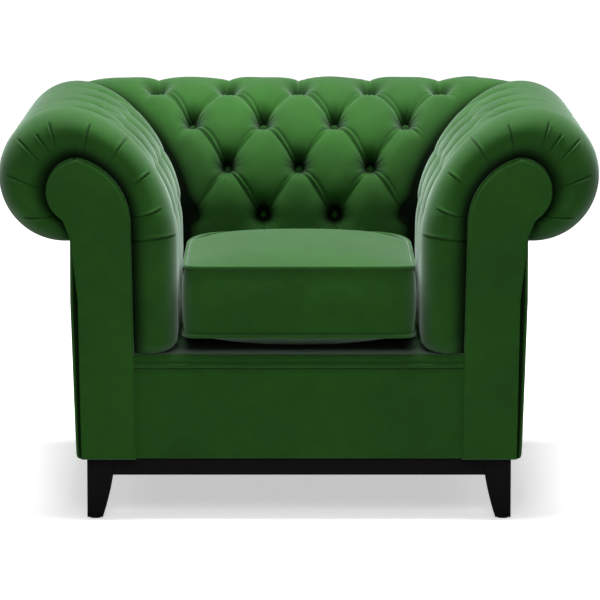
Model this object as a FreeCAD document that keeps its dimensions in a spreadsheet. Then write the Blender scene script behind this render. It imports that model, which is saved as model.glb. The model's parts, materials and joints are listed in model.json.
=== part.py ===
import FreeCAD, Part
import Sketcher
import math
import os

from FreeCAD import Vector

# A chesterfield armchair, in millimetres. The front faces -Y, the chair stands on Z = 0, and the origin is the
# middle of its footprint. The arms and the back share one profile, drawn in a plane of (reach, height): reach is
# the distance from the seat side of the upholstery outwards.

doc = FreeCAD.newDocument("chesterfield_armchair")

DRIVING_SIZES = [
    ("overallWidth", 1120.0),
    ("overallDepth", 910.0),
    ("overallHeight", 770.0),
    ("legHeight", 115.0),
    ("legTopWidth", 47.5),
    ("legFootWidth", 29.0),
    ("legCurveHeight", 80.0),
    ("legCurveRadius", 400.0),
    ("legInset", 25.0),
    ("legSideInset", 163.0),
    ("rearLegInset", 161.0),
    ("glideRadius", 10.0),
    ("glideThickness", 3.0),
    ("baseRailHeight", 32.5),
    ("baseRailThickness", 20.0),
    ("baseRailRecess", 4.0),
    ("boltRadius", 4.0),
    ("boltHoleGap", 0.3),
    ("boltLength", 70.0),
    ("boltHeadRadius", 7.5),
    ("boltHeadHeight", 5.5),
    ("boltEdge", 10.5),
    ("seatRailHeight", 130.0),
    ("seatRailThickness", 30.0),
    ("sideRailOverhang", 5.0),
    ("cornerBlockLeg", 68.0),
    ("cornerBlockHeight", 30.0),
    ("boardThickness", 25.0),
    ("ribThickness", 20.0),
    ("rollWidth", 333.0),
    ("rollRadius", 125.0),
    ("shoulderDrop", 250.0),
    ("shoulderPull", 120.0),
    ("crownPull", 105.0),
    ("padCorner", 30.0),
    ("rollEndAngle", 4.0),
    ("boardFoot", 79.0),
    ("boardShoulder", 88.0),
    ("boardShoulderDrop", 217.0),
    ("boardCrown", 183.0),
    ("boardCrownDrop", 92.0),
    ("boardInnerRadius", 128.0),
    ("boardHeadRadius", 58.0),
    ("boardThroat", 211.0),
    ("boardThroatDrop", 204.0),
    ("boardNeck", 197.0),
    ("boardNeckDrop", 239.0),
    ("boardOuter", 183.0),
    ("boardOuterDrop", 356.0),
    ("boardOuterFoot", 178.0),
    ("facingThickness", 12.0),
    ("facingBevel", 3.0),
    ("liningThickness", 3.0),
    ("liningInset", 18.0),
    ("coverThickness", 3.0),
    ("restGap", 0.3),
    ("mitreGap", 0.5),
    ("deckHeight", 311.0),
    ("deckSideGap", 3.0),
    ("deckPadThickness", 44.0),
    ("deckClothThickness", 2.0),
    ("deckLipRadius", 14.0),
    ("insulatorThickness", 9.0),
    ("borderRecess", 13.0),
    ("borderThickness", 8.0),
    ("borderBottom", 117.0),
    ("borderCrownRadius", 1400.0),
    ("weltRadius", 4.0),
    ("pipingRadius", 3.5),
    ("pipingCorner", 22.0),
    ("bandRecess", 6.0),
    ("bandGroove", 15.0),
    ("bandLength", 66.0),
    ("rowSpacing", 105.0),
    ("lowestRowDrop", 262.0),
    ("buttonDepth", 35.0),
    ("pleatDepth", 23.0),
    ("shoulderDepth", 9.0),
    ("overPleatDepth", 16.0),
    ("underPleatDepth", 12.0),
    ("cornerFoldDepth", 16.0),
    ("cornerColumnGap", 14.0),
    ("buttonRadius", 11.0),
    ("buttonBack", 9.0),
    ("buttonDome", 5.0),
    ("buttonGap", 0.4),
    ("cushionSideGap", 14.0),
    ("cushionFrontInset", 7.0),
    ("cushionRearGap", 12.0),
    ("cushionTopSeam", 475.0),
    ("cushionBottomSeam", 349.0),
    ("cushionCrown", 45.0),
    ("cushionSideBulge", 6.0),
    ("cushionPullIn", 1.4),
    ("cushionCornerCut", 7.0),
    ("cushionClothThickness", 2.5),
    ("zipLength", 320.0),
    ("zipWidth", 10.0),
    ("zipThickness", 3.0),
    ("sliderLength", 11.0),
    ("sliderWidth", 8.0),
    ("sliderThickness", 2.6),
    ("railWidth", 60.0),
    ("railThickness", 40.0),
    ("rollRailReach", 140.0),
    ("rollRailDrop", 170.0),
    ("linerHeight", 325.0),
    ("linerDepth", 50.0),
    ("linerThickness", 30.0),
    ("postWidth", 40.0),
    ("postReach", 143.0),
    ("springWire", 3.8),
    ("springHalfWidth", 24.0),
    ("springSpacing", 130.0),
    ("clipThickness", 1.2),
    ("clipWidth", 36.0),
    ("outsidePanelTop", 199.6),
    ("outsidePanelFoot", 186.0),
    ("outsidePanelBreak", 190.0),
    ("outsidePanelBreakHeight", 170.0),
    ("outsidePanelDrop", 251.0),
    ("outsideFootRadius", 120.0),
    ("dustClothThickness", 1.0),
]
# Sizes worked out from the ones above
WORKED_OUT_SIZES = [
    ("seatHalf", "overallWidth / 2 - rollWidth"),
    ("seatBack", "overallDepth / 2 - rollWidth"),
    ("legOutset", "overallWidth / 2 - legSideInset"),
    ("rearLegFace", "overallDepth / 2 - rearLegInset"),
    ("sideRailFace", "legOutset + sideRailOverhang"),
    ("shoulderHeight", "overallHeight - shoulderDrop"),
    ("boardShoulderHeight", "overallHeight - boardShoulderDrop"),
    ("boardCrownHeight", "overallHeight - boardCrownDrop"),
    ("boardThroatHeight", "overallHeight - boardThroatDrop"),
    ("boardNeckHeight", "overallHeight - boardNeckDrop"),
    ("boardOuterHeight", "overallHeight - boardOuterDrop"),
    ("outsidePanelHeight", "overallHeight - outsidePanelDrop"),
    ("lowestRowHeight", "overallHeight - lowestRowDrop"),
    ("rollRailHeight", "overallHeight - rollRailDrop"),
    ("deckHalfWidth", "seatHalf + boardFoot - deckSideGap"),
    ("cushionHalfWidth", "seatHalf - cushionSideGap"),
    ("postOutset", "seatHalf + postReach"),
    ("borderFront", "overallDepth / 2 - borderRecess"),
    ("bandFront", "overallDepth / 2 - bandRecess"),
    ("bandStart", "overallDepth / 2 - bandLength"),
]
TUFT_ROWS = 4
SPRING_COUNT = 4
SPRING_BARS = 11
ROLL_STEPS = 6

sheet = doc.addObject("Spreadsheet::Sheet", "dims")
for line, (alias, value) in enumerate(DRIVING_SIZES, start=1):
    sheet.set("A%d" % line, alias)
    sheet.set("B%d" % line, str(value))
    sheet.setAlias("B%d" % line, alias)
for line, (alias, formula) in enumerate(WORKED_OUT_SIZES, start=len(DRIVING_SIZES) + 1):
    sheet.set("A%d" % line, alias)
    sheet.set("B%d" % line, "=" + formula)
    sheet.setAlias("B%d" % line, alias)
doc.recompute()


# A size carries its value and the expression that binds a property to the sheet.
class Size:
    def __init__(self, value, text):
        self.value = value
        self.text = text

    def __add__(self, other):
        return combine(self, "+", other)

    def __radd__(self, other):
        return combine(other, "+", self)

    def __sub__(self, other):
        return combine(self, "-", other)

    def __rsub__(self, other):
        return combine(other, "-", self)

    def __mul__(self, other):
        return combine(self, "*", other)

    def __truediv__(self, other):
        return combine(self, "/", other)

    def __neg__(self):
        return combine(0.0, "-", self)


def combine(first, sign, second):
    a = first if isinstance(first, Size) else Size(float(first), "%.6f" % first)
    b = second if isinstance(second, Size) else Size(float(second), "%.6f" % second)
    results = {"+": a.value + b.value, "-": a.value - b.value, "*": a.value * b.value}
    value = a.value / b.value if sign == "/" else results[sign]
    return Size(value, "(%s %s %s)" % (a.text, sign, b.text))


def size(alias):
    return Size(float(sheet.get(alias)), "dims." + alias)


def number(alias):
    return float(sheet.get(alias))


# Derived places that several pieces share
seat_half = size("seatHalf")
seat_back = size("seatBack")
front = -(size("overallDepth") / 2)
board_front = front + size("facingThickness")
board_rear = board_front + size("boardThickness")
rail_top = size("legHeight") + size("seatRailHeight")
rail_front = -size("borderFront") + size("borderThickness") + size("restGap")
rail_rear = size("rearLegFace") + size("baseRailRecess")
side_rail_inner = size("sideRailFace") - size("seatRailThickness")
pad_bottom = size("deckHeight") + size("restGap")
parts = []


def keep(shape_object, label):
    shape_object.Label = label
    parts.append(shape_object)
    return shape_object


def place(shape_object, x, y, z):
    for axis, value in zip("xyz", (x, y, z)):
        if isinstance(value, Size):
            shape_object.setExpression("Placement.Base." + axis, value.text)
        elif value:
            shape_object.setExpression("Placement.Base." + axis, "%.6f" % value)


def box(name, lengths, corner):
    block = doc.addObject("Part::Box", name)
    for side, length in zip(("Length", "Width", "Height"), lengths):
        block.setExpression(side, length.text)
    place(block, *corner)
    return block


def cylinder(name, radius, height, base):
    rod = doc.addObject("Part::Cylinder", name)
    rod.setExpression("Radius", radius.text)
    rod.setExpression("Height", height.text)
    place(rod, *base)
    return rod


def mirrored(name, source, normal, base=None):
    twin = doc.addObject("Part::Mirroring", name)
    twin.Source = source
    twin.Normal = normal
    if base is not None:
        twin.setExpression("Base.y", base.text)
    return twin


def boolean(kind, name, base, tool):
    result = doc.addObject("Part::" + kind, name)
    result.Base = base
    result.Tool = tool
    return result


def group(name, members):
    together = doc.addObject("Part::Compound", name)
    together.Links = members
    return together


def both_sides(name, right):
    keep(right, "right_" + name)
    keep(mirrored("left_" + name, right, Vector(1, 0, 0)), "left_" + name)


# A closed outline in a sketch. Each corner is (across, up, radius of the edge that leaves it, side of its centre):
# a straight edge has no radius, and the side is +1 where the centre lies left of the edge.
def draw_outline(sketch, corners):
    count = len(corners)
    ends = []
    for index, (across, up, radius, side) in enumerate(corners):
        start = Vector(across.value, up.value, 0)
        after = corners[(index + 1) % count]
        finish = Vector(after[0].value, after[1].value, 0)
        if radius is None:
            edge = sketch.addGeometry(Part.LineSegment(start, finish), False)
            ends.append((edge, 1, 2))
            continue
        chord = finish - start
        left = Vector(-chord.y, chord.x, 0).normalize()
        drop = math.sqrt(radius.value ** 2 - chord.Length ** 2 / 4)
        middle = (start + finish) / 2 + left * (drop * side)
        first, last = (start, finish) if side > 0 else (finish, start)
        angles = [math.atan2(p.y - middle.y, p.x - middle.x) for p in (first, last)]
        circle = Part.Circle(middle, Vector(0, 0, 1), radius.value)
        edge = sketch.addGeometry(Part.ArcOfCircle(circle, angles[0], angles[1]), False)
        ends.append((edge, 1, 2) if side > 0 else (edge, 2, 1))
    for index, (across, up, radius, side) in enumerate(corners):
        edge, start, finish = ends[index]
        after, next_start, next_finish = ends[(index + 1) % count]
        sketch.addConstraint(Sketcher.Constraint("Coincident", edge, finish, after, next_start))
        bound = [("DistanceX", across), ("DistanceY", up)]
        for kind, value in bound:
            made = sketch.addConstraint(Sketcher.Constraint(kind, -1, 1, edge, start, value.value))
            sketch.setExpression("Constraints[%d]" % made, value.text)
        if radius is not None:
            made = sketch.addConstraint(Sketcher.Constraint("Radius", edge, radius.value))
            sketch.setExpression("Constraints[%d]" % made, radius.text)


def profile_body(name, role, corners, length, spot, midplane=False):
    body = doc.addObject("PartDesign::Body", name)
    plane = [f for f in body.Origin.OriginFeatures if f.Role == role][0]
    sketch = body.newObject("Sketcher::SketchObject", name + "_outline")
    sketch.AttachmentSupport = (plane, [""])
    sketch.MapMode = "FlatFace"
    draw_outline(sketch, corners)
    pad = body.newObject("PartDesign::Pad", name + "_pad")
    pad.Profile = sketch
    pad.setExpression("Length", length.text)
    pad.Midplane = midplane
    place(body, *spot)
    return body


# The board outline that the scroll boards, the facings and the rib of the back share
def board_corners(origin, foot_height):
    def at(reach, height):
        return origin + size(reach), size(height)

    crown = at("boardCrown", "boardCrownHeight")
    head = origin + size("boardCrown") + size("boardHeadRadius")
    head_height = size("boardCrownHeight") - size("boardHeadRadius")
    def along_edge(foot, top, top_height):
        share = (foot_height - size("legHeight")) / (size(top_height) - size("legHeight"))
        return origin + size(foot) + (size(top) - size(foot)) * share

    return [
        (along_edge("boardFoot", "boardShoulder", "boardShoulderHeight"), foot_height, None, 0),
        (*at("boardShoulder", "boardShoulderHeight"), size("boardInnerRadius"), -1),
        (*crown, size("boardHeadRadius"), -1),
        (head, head_height, size("boardHeadRadius"), -1),
        (*at("boardThroat", "boardThroatHeight"), None, 0),
        (*at("boardNeck", "boardNeckHeight"), None, 0),
        (*at("boardOuter", "boardOuterHeight"), None, 0),
        (along_edge("boardOuterFoot", "boardOuter", "boardOuterHeight"), foot_height, None, 0),
    ]


# The wooden base: four legs with glides and bolts, four rails between them
def make_leg():
    outer = size("legOutset")
    inner = outer - size("legTopWidth")
    foot = outer - size("legFootWidth")
    sole = size("glideThickness")
    top = size("legHeight")
    across = [
        (outer, top, None, 0),
        (inner, top, None, 0),
        (inner, size("legCurveHeight"), size("legCurveRadius"), 1),
        (foot, sole, None, 0),
        (outer, sole, None, 0),
    ]
    face = front + size("legInset")
    along = [
        (face, top, None, 0),
        (face, sole, None, 0),
        (face + size("legFootWidth"), sole, size("legCurveRadius"), 1),
        (face + size("legTopWidth"), size("legCurveHeight"), None, 0),
        (face + size("legTopWidth"), top, None, 0),
    ]
    from_front = profile_body("leg_front_profile", "XZ_Plane", across, size("legTopWidth"),
                              (0, face + size("legTopWidth"), 0))
    from_side = profile_body("leg_side_profile", "YZ_Plane", along, size("legTopWidth"), (inner, 0, 0))
    blank = boolean("Common", "leg_blank", from_front, from_side)
    depth = size("boltLength") - size("cornerBlockHeight") + size("boltHoleGap")
    hole = cylinder("leg_bolt_hole", size("boltRadius") + size("boltHoleGap"), depth + size("boltRadius"),
                    (inner + size("boltEdge"), face + size("legTopWidth") - size("boltEdge"), top - depth))
    return boolean("Cut", "front_right_leg", blank, hole)


front_mid = (front + size("legInset") + size("rearLegFace")) / 2


def four_corners(name, source):
    left = mirrored(name + "_front_left", source, Vector(1, 0, 0))
    rear = mirrored(name + "_rear_right", source, Vector(0, 1, 0), front_mid)
    rear_left = mirrored(name + "_rear_left", rear, Vector(1, 0, 0))
    return [source, left, rear, rear_left]


def make_base():
    legs = four_corners("leg", make_leg())
    names = ("front_right_leg", "front_left_leg", "rear_right_leg", "rear_left_leg")
    for leg, name in zip(legs, names):
        keep(leg, name)
    inner = size("legOutset") - size("legTopWidth")
    face = front + size("legInset")
    low = size("legHeight") - size("baseRailHeight")
    height = size("baseRailHeight")
    thick = size("baseRailThickness")
    between = size("rearLegFace") - face - size("legTopWidth") * 2
    keep(box("front_base_rail", (inner * 2, thick, height), (-inner, face + size("baseRailRecess"), low)),
         "front_base_rail")
    keep(box("rear_base_rail", (inner * 2, thick, height),
             (-inner, size("rearLegFace") - size("baseRailRecess") - thick, low)), "rear_base_rail")
    side = box("right_base_rail_box", (thick, between, height),
               (size("legOutset") - size("baseRailRecess") - thick, face + size("legTopWidth"), low))
    both_sides("base_rail", side)
    glide = cylinder("glide", size("glideRadius"), size("glideThickness"),
                     (size("legOutset") - size("legFootWidth") / 2, face + size("legFootWidth") / 2, 0))
    keep(group("leg_glides_group", four_corners("glide", glide)), "leg_glides")
    bolt_x = inner + size("boltEdge")
    bolt_y = face + size("legTopWidth") - size("boltEdge")
    block_top = size("legHeight") + size("cornerBlockHeight")
    shank = cylinder("bolt_shank", size("boltRadius"), size("boltLength"),
                     (bolt_x, bolt_y, block_top - size("boltLength")))
    head = doc.addObject("Part::Prism", "bolt_head")
    head.Polygon = 6
    head.setExpression("Circumradius", size("boltHeadRadius").text)
    head.setExpression("Height", size("boltHeadHeight").text)
    place(head, bolt_x, bolt_y, block_top)
    bolt = boolean("Fuse", "leg_bolt", shank, head)
    keep(group("leg_bolts_group", four_corners("bolt", bolt)), "leg_bolts")


# The hardwood seat frame
def make_seat_frame():
    low = size("legHeight")
    height = size("seatRailHeight")
    thick = size("seatRailThickness")
    front_half = seat_half + size("boardFoot")
    keep(box("front_seat_rail", (front_half * 2, thick, height), (-front_half, rail_front, low)),
         "front_seat_rail")
    keep(box("rear_seat_rail", (side_rail_inner * 2, thick, height),
             (-side_rail_inner, rail_rear - thick, low)), "rear_seat_rail")
    side = box("right_seat_rail_box", (thick, rail_rear - board_rear, height),
               (side_rail_inner, board_rear, low))
    both_sides("seat_rail", side)
    leg = size("cornerBlockLeg")
    inner_front = rail_front + thick
    corners = [
        (side_rail_inner, inner_front, None, 0),
        (side_rail_inner, inner_front + leg, None, 0),
        (side_rail_inner - leg, inner_front, None, 0),
    ]
    block = profile_body("corner_block", "XY_Plane", corners, size("cornerBlockHeight"), (0, 0, low))
    inner = size("legOutset") - size("legTopWidth")
    hole = cylinder("block_bolt_hole", size("boltRadius") + size("boltHoleGap"), size("boltLength"),
                    (inner + size("boltEdge"),
                     front + size("legInset") + size("legTopWidth") - size("boltEdge"),
                     low - size("boltLength") / 2))
    front_block = boolean("Cut", "drilled_block", block, hole)
    left = mirrored("block_front_left", front_block, Vector(1, 0, 0))
    rear = mirrored("block_rear_right", front_block, Vector(0, 1, 0), front_mid)
    rear_left = mirrored("block_rear_left", rear, Vector(1, 0, 0))
    keep(group("corner_blocks_group", [front_block, left, rear, rear_left]), "seat_corner_blocks")


# The boards, rails and posts that carry the arms and the back
def make_arm_and_back_frame():
    board = profile_body("right_scroll_board", "XZ_Plane", board_corners(seat_half, size("legHeight")),
                         size("boardThickness"), (0, board_rear, 0))
    both_sides("arm_scroll_board", board)
    facing = profile_body("right_facing", "XZ_Plane", board_corners(seat_half, size("borderBottom")),
                          size("facingThickness"), (0, board_front, 0))
    doc.recompute()
    pad = facing.Tip
    lowest = min(vertex.Y for vertex in pad.Shape.Vertexes)
    rim = [n for n, edge in enumerate(pad.Shape.Edges, start=1)
           if all(abs(vertex.Y - lowest) < 0.01 for vertex in edge.Vertexes)]
    bevel = facing.newObject("PartDesign::Chamfer", "facing_bevel")
    bevel.Base = (pad, ["Edge%d" % n for n in rim])
    bevel.setExpression("Size", size("facingBevel").text)
    both_sides("arm_facing", facing)
    wide = size("railWidth")
    thick = size("railThickness")
    reach = size("rollRailReach")
    height = size("rollRailHeight")
    arm_rail = box("right_roll_rail", (wide, seat_back + reach + wide - board_rear, thick),
                   (seat_half + reach, board_rear, height))
    both_sides("arm_roll_rail", arm_rail)
    back_half = seat_half + reach
    back_rail = keep(box("back_roll_rail", (back_half * 2, wide, thick),
                         (-back_half, seat_back + reach, height)), "back_roll_rail")
    liner_z = size("linerHeight")
    liner_at = size("boardShoulder")
    liner = size("linerThickness")
    arm_liner = box("right_liner", (liner, seat_back + liner_at - board_rear, size("linerDepth")),
                    (seat_half + liner_at, board_rear, liner_z))
    both_sides("arm_liner_rail", arm_liner)
    post_half = size("postOutset")
    back_liner = keep(box("back_liner_rail", (post_half * 2, liner, size("linerDepth")),
                          (-post_half, seat_back + liner_at, liner_z)), "back_liner_rail")
    post_front = seat_back + liner_at + liner
    post = box("right_post", (size("postWidth"), rail_rear - post_front, height - rail_top),
               (post_half - size("postWidth"), post_front, rail_top))
    both_sides("back_post", post)
    rib = profile_body("rib_board", "YZ_Plane", board_corners(seat_back, rail_top),
                       size("ribThickness"), (0, 0, 0), midplane=True)
    notched = boolean("Cut", "rib_notched", rib, back_rail)
    keep(boolean("Cut", "rib_finished", notched, back_liner), "back_centre_rib")


# One stretch of a profile: straight, round or a cubic curve, with the point and outward normal at a share of it
class Straight:
    def __init__(self, start, finish):
        self.start = start
        self.finish = finish
        self.length = math.dist(start, finish)

    def at(self, share):
        (a, b), (c, d) = self.start, self.finish
        run = ((c - a) / self.length, (d - b) / self.length)
        return (a + (c - a) * share, b + (d - b) * share), (-run[1], run[0])


class Round:
    def __init__(self, middle, radius, first, last):
        self.middle = middle
        self.radius = radius
        self.first = first
        self.last = last
        self.length = radius * abs(math.radians(last - first))

    def at(self, share):
        angle = math.radians(self.first + (self.last - self.first) * share)
        spoke = (math.cos(angle), math.sin(angle))
        point = tuple(m + self.radius * k for m, k in zip(self.middle, spoke))
        return point, spoke


class Curve:
    def __init__(self, *poles):
        self.poles = poles
        steps = [self.point(k / 40) for k in range(41)]
        self.length = sum(math.dist(a, b) for a, b in zip(steps, steps[1:]))

    def point(self, share):
        weights = [(1 - share) ** 3, 3 * share * (1 - share) ** 2, 3 * share ** 2 * (1 - share), share ** 3]
        return tuple(sum(w * pole[axis] for w, pole in zip(weights, self.poles)) for axis in (0, 1))

    def at(self, share):
        near, far = self.point(max(share - 0.01, 0)), self.point(min(share + 0.01, 1))
        run = math.dist(near, far)
        return self.point(share), (-(far[1] - near[1]) / run, (far[0] - near[0]) / run)


def walk(stretches, share):
    left = share * sum(stretch.length for stretch in stretches)
    for stretch in stretches:
        if left <= stretch.length or stretch is stretches[-1]:
            return stretch.at(min(left / stretch.length, 1.0))
        left -= stretch.length


def arc_between(start, finish, radius):
    chord = (finish[0] - start[0], finish[1] - start[1])
    length = math.hypot(*chord)
    right = (chord[1] / length, -chord[0] / length)
    drop = math.sqrt(radius ** 2 - length ** 2 / 4)
    middle = tuple((a + b) / 2 + r * drop for a, b, r in zip(start, finish, right))
    angles = [math.degrees(math.atan2(p[1] - middle[1], p[0] - middle[0])) for p in (start, finish)]
    if angles[1] > angles[0]:
        angles[1] -= 360
    return Round(middle, radius, angles[0], angles[1])


# The crest of the upholstery and, inside it, the edge of the boards, in three matching parts: the face beside the
# seat, the shoulder up to the crown, and the roll
def crest_parts():
    corner = number("padCorner")
    bottom = pad_bottom.value
    height = number("overallHeight")
    radius = number("rollRadius")
    crown = number("rollWidth") - radius
    shoulder = number("shoulderHeight")
    face = [
        Round((corner, bottom + corner), corner, 270, 180),
        Straight((0.0, bottom + corner), (0.0, shoulder)),
    ]
    curve = Curve((0.0, shoulder), (0.0, shoulder + number("shoulderPull")),
                  (crown - number("crownPull"), height), (crown, height))
    roll = Round((crown, height - radius), radius, 90, -90 - number("rollEndAngle"))
    return [face, [curve], [roll]]


def board_parts():
    crown = (number("boardCrown"), number("boardCrownHeight"))
    radius = number("boardHeadRadius")
    head = (crown[0] + radius, crown[1] - radius)
    throat = (number("boardThroat"), number("boardThroatHeight"))
    neck = (number("boardNeck"), number("boardNeckHeight"))
    shoulder = (number("boardShoulder"), number("boardShoulderHeight"))
    bottom = pad_bottom.value + number("coverThickness") + number("restGap")
    slope = (number("boardShoulder") - number("boardFoot")) / (shoulder[1] - number("legHeight"))
    foot = (number("boardFoot") + slope * (bottom - number("legHeight")), bottom)
    return [
        [Straight(foot, shoulder)],
        [arc_between(shoulder, crown, number("boardInnerRadius"))],
        [arc_between(crown, head, radius), arc_between(head, throat, radius), Straight(throat, neck)],
    ]


crest = crest_parts()
board = board_parts()


# Rows along the crest. A row is (part, share of that part, tuft row in half steps from the lowest buttons).
def tuft_rows():
    lengths = [sum(stretch.length for stretch in part) for part in crest]
    corner = crest[0][0].length
    lowest = corner + number("lowestRowHeight") - pad_bottom.value - number("padCorner")
    half = number("rowSpacing") / 2
    third = (lowest - corner) / 3
    runs = [(0.0, -4), (corner / 2, -4), (corner, -4), (corner + third, -2), (corner + 2 * third, -1)]
    last = 2 * (TUFT_ROWS - 1) + 1
    runs += [(lowest + half * step, step) for step in range(last + 1)]
    top = runs[-1][0]
    runs += [(top + (sum(lengths) - top) * k / ROLL_STEPS, last + k) for k in range(1, ROLL_STEPS + 1)]
    rows = []
    for run, step in runs:
        part = 0
        while part < 2 and run > lengths[part]:
            run -= lengths[part]
            part += 1
        rows.append((part, min(run / lengths[part], 1.0), step))
    return rows


rows = tuft_rows()
TOP_STEP = 2 * (TUFT_ROWS - 1)


# Depth of the upholstery below its crest. Columns and rows count in half steps, and a button sits where the
# column and the row, both whole, add up to an odd number.
def has_button(column, row):
    whole = column % 2 == 0 and row % 2 == 0
    return whole and 0 <= row <= TOP_STEP and (column // 2 + row // 2) % 2 == 1


def tuft_depth(column, row):
    if row > TOP_STEP:
        fade = 1 - (row - TOP_STEP - 1) / ROLL_STEPS
        return number("overPleatDepth") * fade if has_button(column, TOP_STEP) else 0.0
    if row < 0:
        return number("underPleatDepth") if has_button(column, 0) and row > -4 else 0.0
    if column % 2 and row % 2:
        return number("pleatDepth")
    if column % 2 or row % 2:
        return number("shoulderDepth")
    return number("buttonDepth") if has_button(column, row) else 0.0


LAST_COLUMN = 14
CORNER_SHARES = {-1: 0.45, -2: 0.8}


# Half the spacing of the buttons in a row, so that the columns fill the arm and the back evenly
BACK_COLUMNS = 6
arm_step = (number("seatBack") - number("cornerColumnGap") + number("bandStart")) / LAST_COLUMN
back_step = (number("seatHalf") - number("cornerColumnGap")) / BACK_COLUMNS


# Distance of a column from the inside corner, positive towards the corner's outside. Past the last full column the
# mitre leaves less room near the seat, so the columns close up there.
def past_corner(column, reach, step):
    gap = number("cornerColumnGap")
    if column >= 0:
        return -gap - column * step, True
    wanted = -column * step
    room = (gap + reach) * CORNER_SHARES[column]
    return min(wanted, room) - gap, wanted < room


def fold_depth(row):
    return number("cornerFoldDepth") if 0 <= row <= TOP_STEP else 0.0


def depth_at(column, row, roomy):
    if column == 0 or (column in CORNER_SHARES and not roomy):
        return fold_depth(row)
    if column == LAST_COLUMN:
        return 0.0
    if column == LAST_COLUMN - 1:
        return tuft_depth(column, row) / 2
    return tuft_depth(column, row)


def crest_point(row, depth):
    part, share, step = row
    (reach, height), normal = walk(crest[part], share)
    return reach - normal[0] * depth, height - normal[1] * depth


def board_point(row, clearance):
    part, share, step = row
    (reach, height), normal = walk(board[part], share)
    return reach + normal[0] * clearance, height + normal[1] * clearance


# How far straight runs between some shares of a part of the profile cut inside the round edge of the boards
def chord_sag(part, shares):
    if part == 0:
        return 0.0
    radius = number("boardInnerRadius") if part == 1 else number("boardHeadRadius")
    length = sum(stretch.length for stretch in board[part])
    longest = max(b - a for a, b in zip(shares, shares[1:])) * length
    return longest ** 2 / (8 * radius)


LINING_STEPS = 10


def lining_clearance(part):
    return 2 * number("restGap") + chord_sag(part, [0.0, 1 / LINING_STEPS])


def foam_clearance(part):
    shares = [row[1] for row in rows if row[0] == part]
    outside = lining_clearance(part) + number("liningThickness") + number("restGap")
    return outside + chord_sag(part, shares)


# The end of an arm in front of the tufts is a plain padded band that turns in to the facing. The shares tell how
# far out of the facing's edge towards the crest each ring of the band lies.
BAND_SHARES = [0.0, 0.12, 0.34, 0.62, 0.9]
BAND_PEAK = 0.3
BAND_FULLNESS = 1.5


def band_place(share, row):
    edge = board_point(row, foam_clearance(row[0]))
    outer = crest_point(row, 0.0)
    width = math.dist(edge, outer)
    fullness = min(1.0, width / number("rollRadius") * BAND_FULLNESS)
    start = -number("bandStart")
    swell = (number("bandFront") + start) * fullness
    if share > BAND_PEAK:
        bulge = math.sqrt(1 - ((share - BAND_PEAK) / (1 - BAND_PEAK)) ** 2)
        along = start - swell * bulge
    else:
        groove = number("bandGroove") * fullness * ((BAND_PEAK - share) / BAND_PEAK) ** 2
        along = start - swell + groove
    reach, height = (e + (o - e) * share for e, o in zip(edge, outer))
    return Vector(reach, along, height)


def grid_normal(grid, i, j):
    up, down = grid[min(i + 1, len(grid) - 1)][j], grid[max(i - 1, 0)][j]
    right, left = grid[i][min(j + 1, len(grid[0]) - 1)], grid[i][max(j - 1, 0)]
    return (up - down).cross(right - left).normalize()


def offset_grid(grid, distance, mitred):
    moved = []
    for i, line in enumerate(grid):
        moved.append([point - grid_normal(grid, i, j) * distance for j, point in enumerate(line)])
        for j in mitred:
            moved[-1][j] = on_mitre(moved[-1][j])
    return moved


# The arms and the back are cut off on the 45 degree plane through the inside corner. An arm point is
# (reach, along, height), with along measured in Y.
def on_mitre(point):
    return Vector(point.x, seat_back.value + point.x - number("mitreGap"), point.z)


def arm_grid():
    grid = []
    for row in rows:
        line = [band_place(share, row) for share in BAND_SHARES]
        corner_reach, corner_height = crest_point(row, fold_depth(row[2]))
        for column in range(LAST_COLUMN, -3, -1):
            along, roomy = past_corner(column, corner_reach, arm_step)
            reach, height = crest_point(row, depth_at(column, row[2], roomy))
            line.append(Vector(reach, seat_back.value + along, height))
        line.append(on_mitre(Vector(corner_reach, 0, corner_height)))
        grid.append(line)
    return grid


# The back is one half of columns and its mirror image. A point is kept as (reach, along, height) as on an arm, with
# along in X, and turned into place at the end.
def back_grid():
    grid = []
    last_full = seat_half.value - number("cornerColumnGap")
    for row in rows:
        corner_reach, corner_height = crest_point(row, fold_depth(row[2]))
        half = []
        for column in range(0, BACK_COLUMNS + 3):
            over = column - BACK_COLUMNS
            depth = tuft_depth(column, row[2])
            along = last_full + over * back_step
            if over > 0:
                outward, roomy = past_corner(-over, corner_reach, back_step)
                along = seat_half.value + outward
                blend = CORNER_SHARES[-over]
                edge_depth = tuft_depth(BACK_COLUMNS, row[2])
                closed = edge_depth + (fold_depth(row[2]) - edge_depth) * blend
                depth = depth if roomy else closed
            reach, height = crest_point(row, depth)
            half.append(Vector(reach, along, height))
        half.append(on_back_mitre(Vector(corner_reach, 1.0, corner_height)))
        grid.append([Vector(p.x, -p.y, p.z) for p in reversed(half[1:])] + half)
    return grid


def on_back_mitre(point):
    sign = 1 if point.y > 0 else -1
    return Vector(point.x, sign * (seat_half.value + point.x - number("mitreGap")), point.z)


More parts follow.
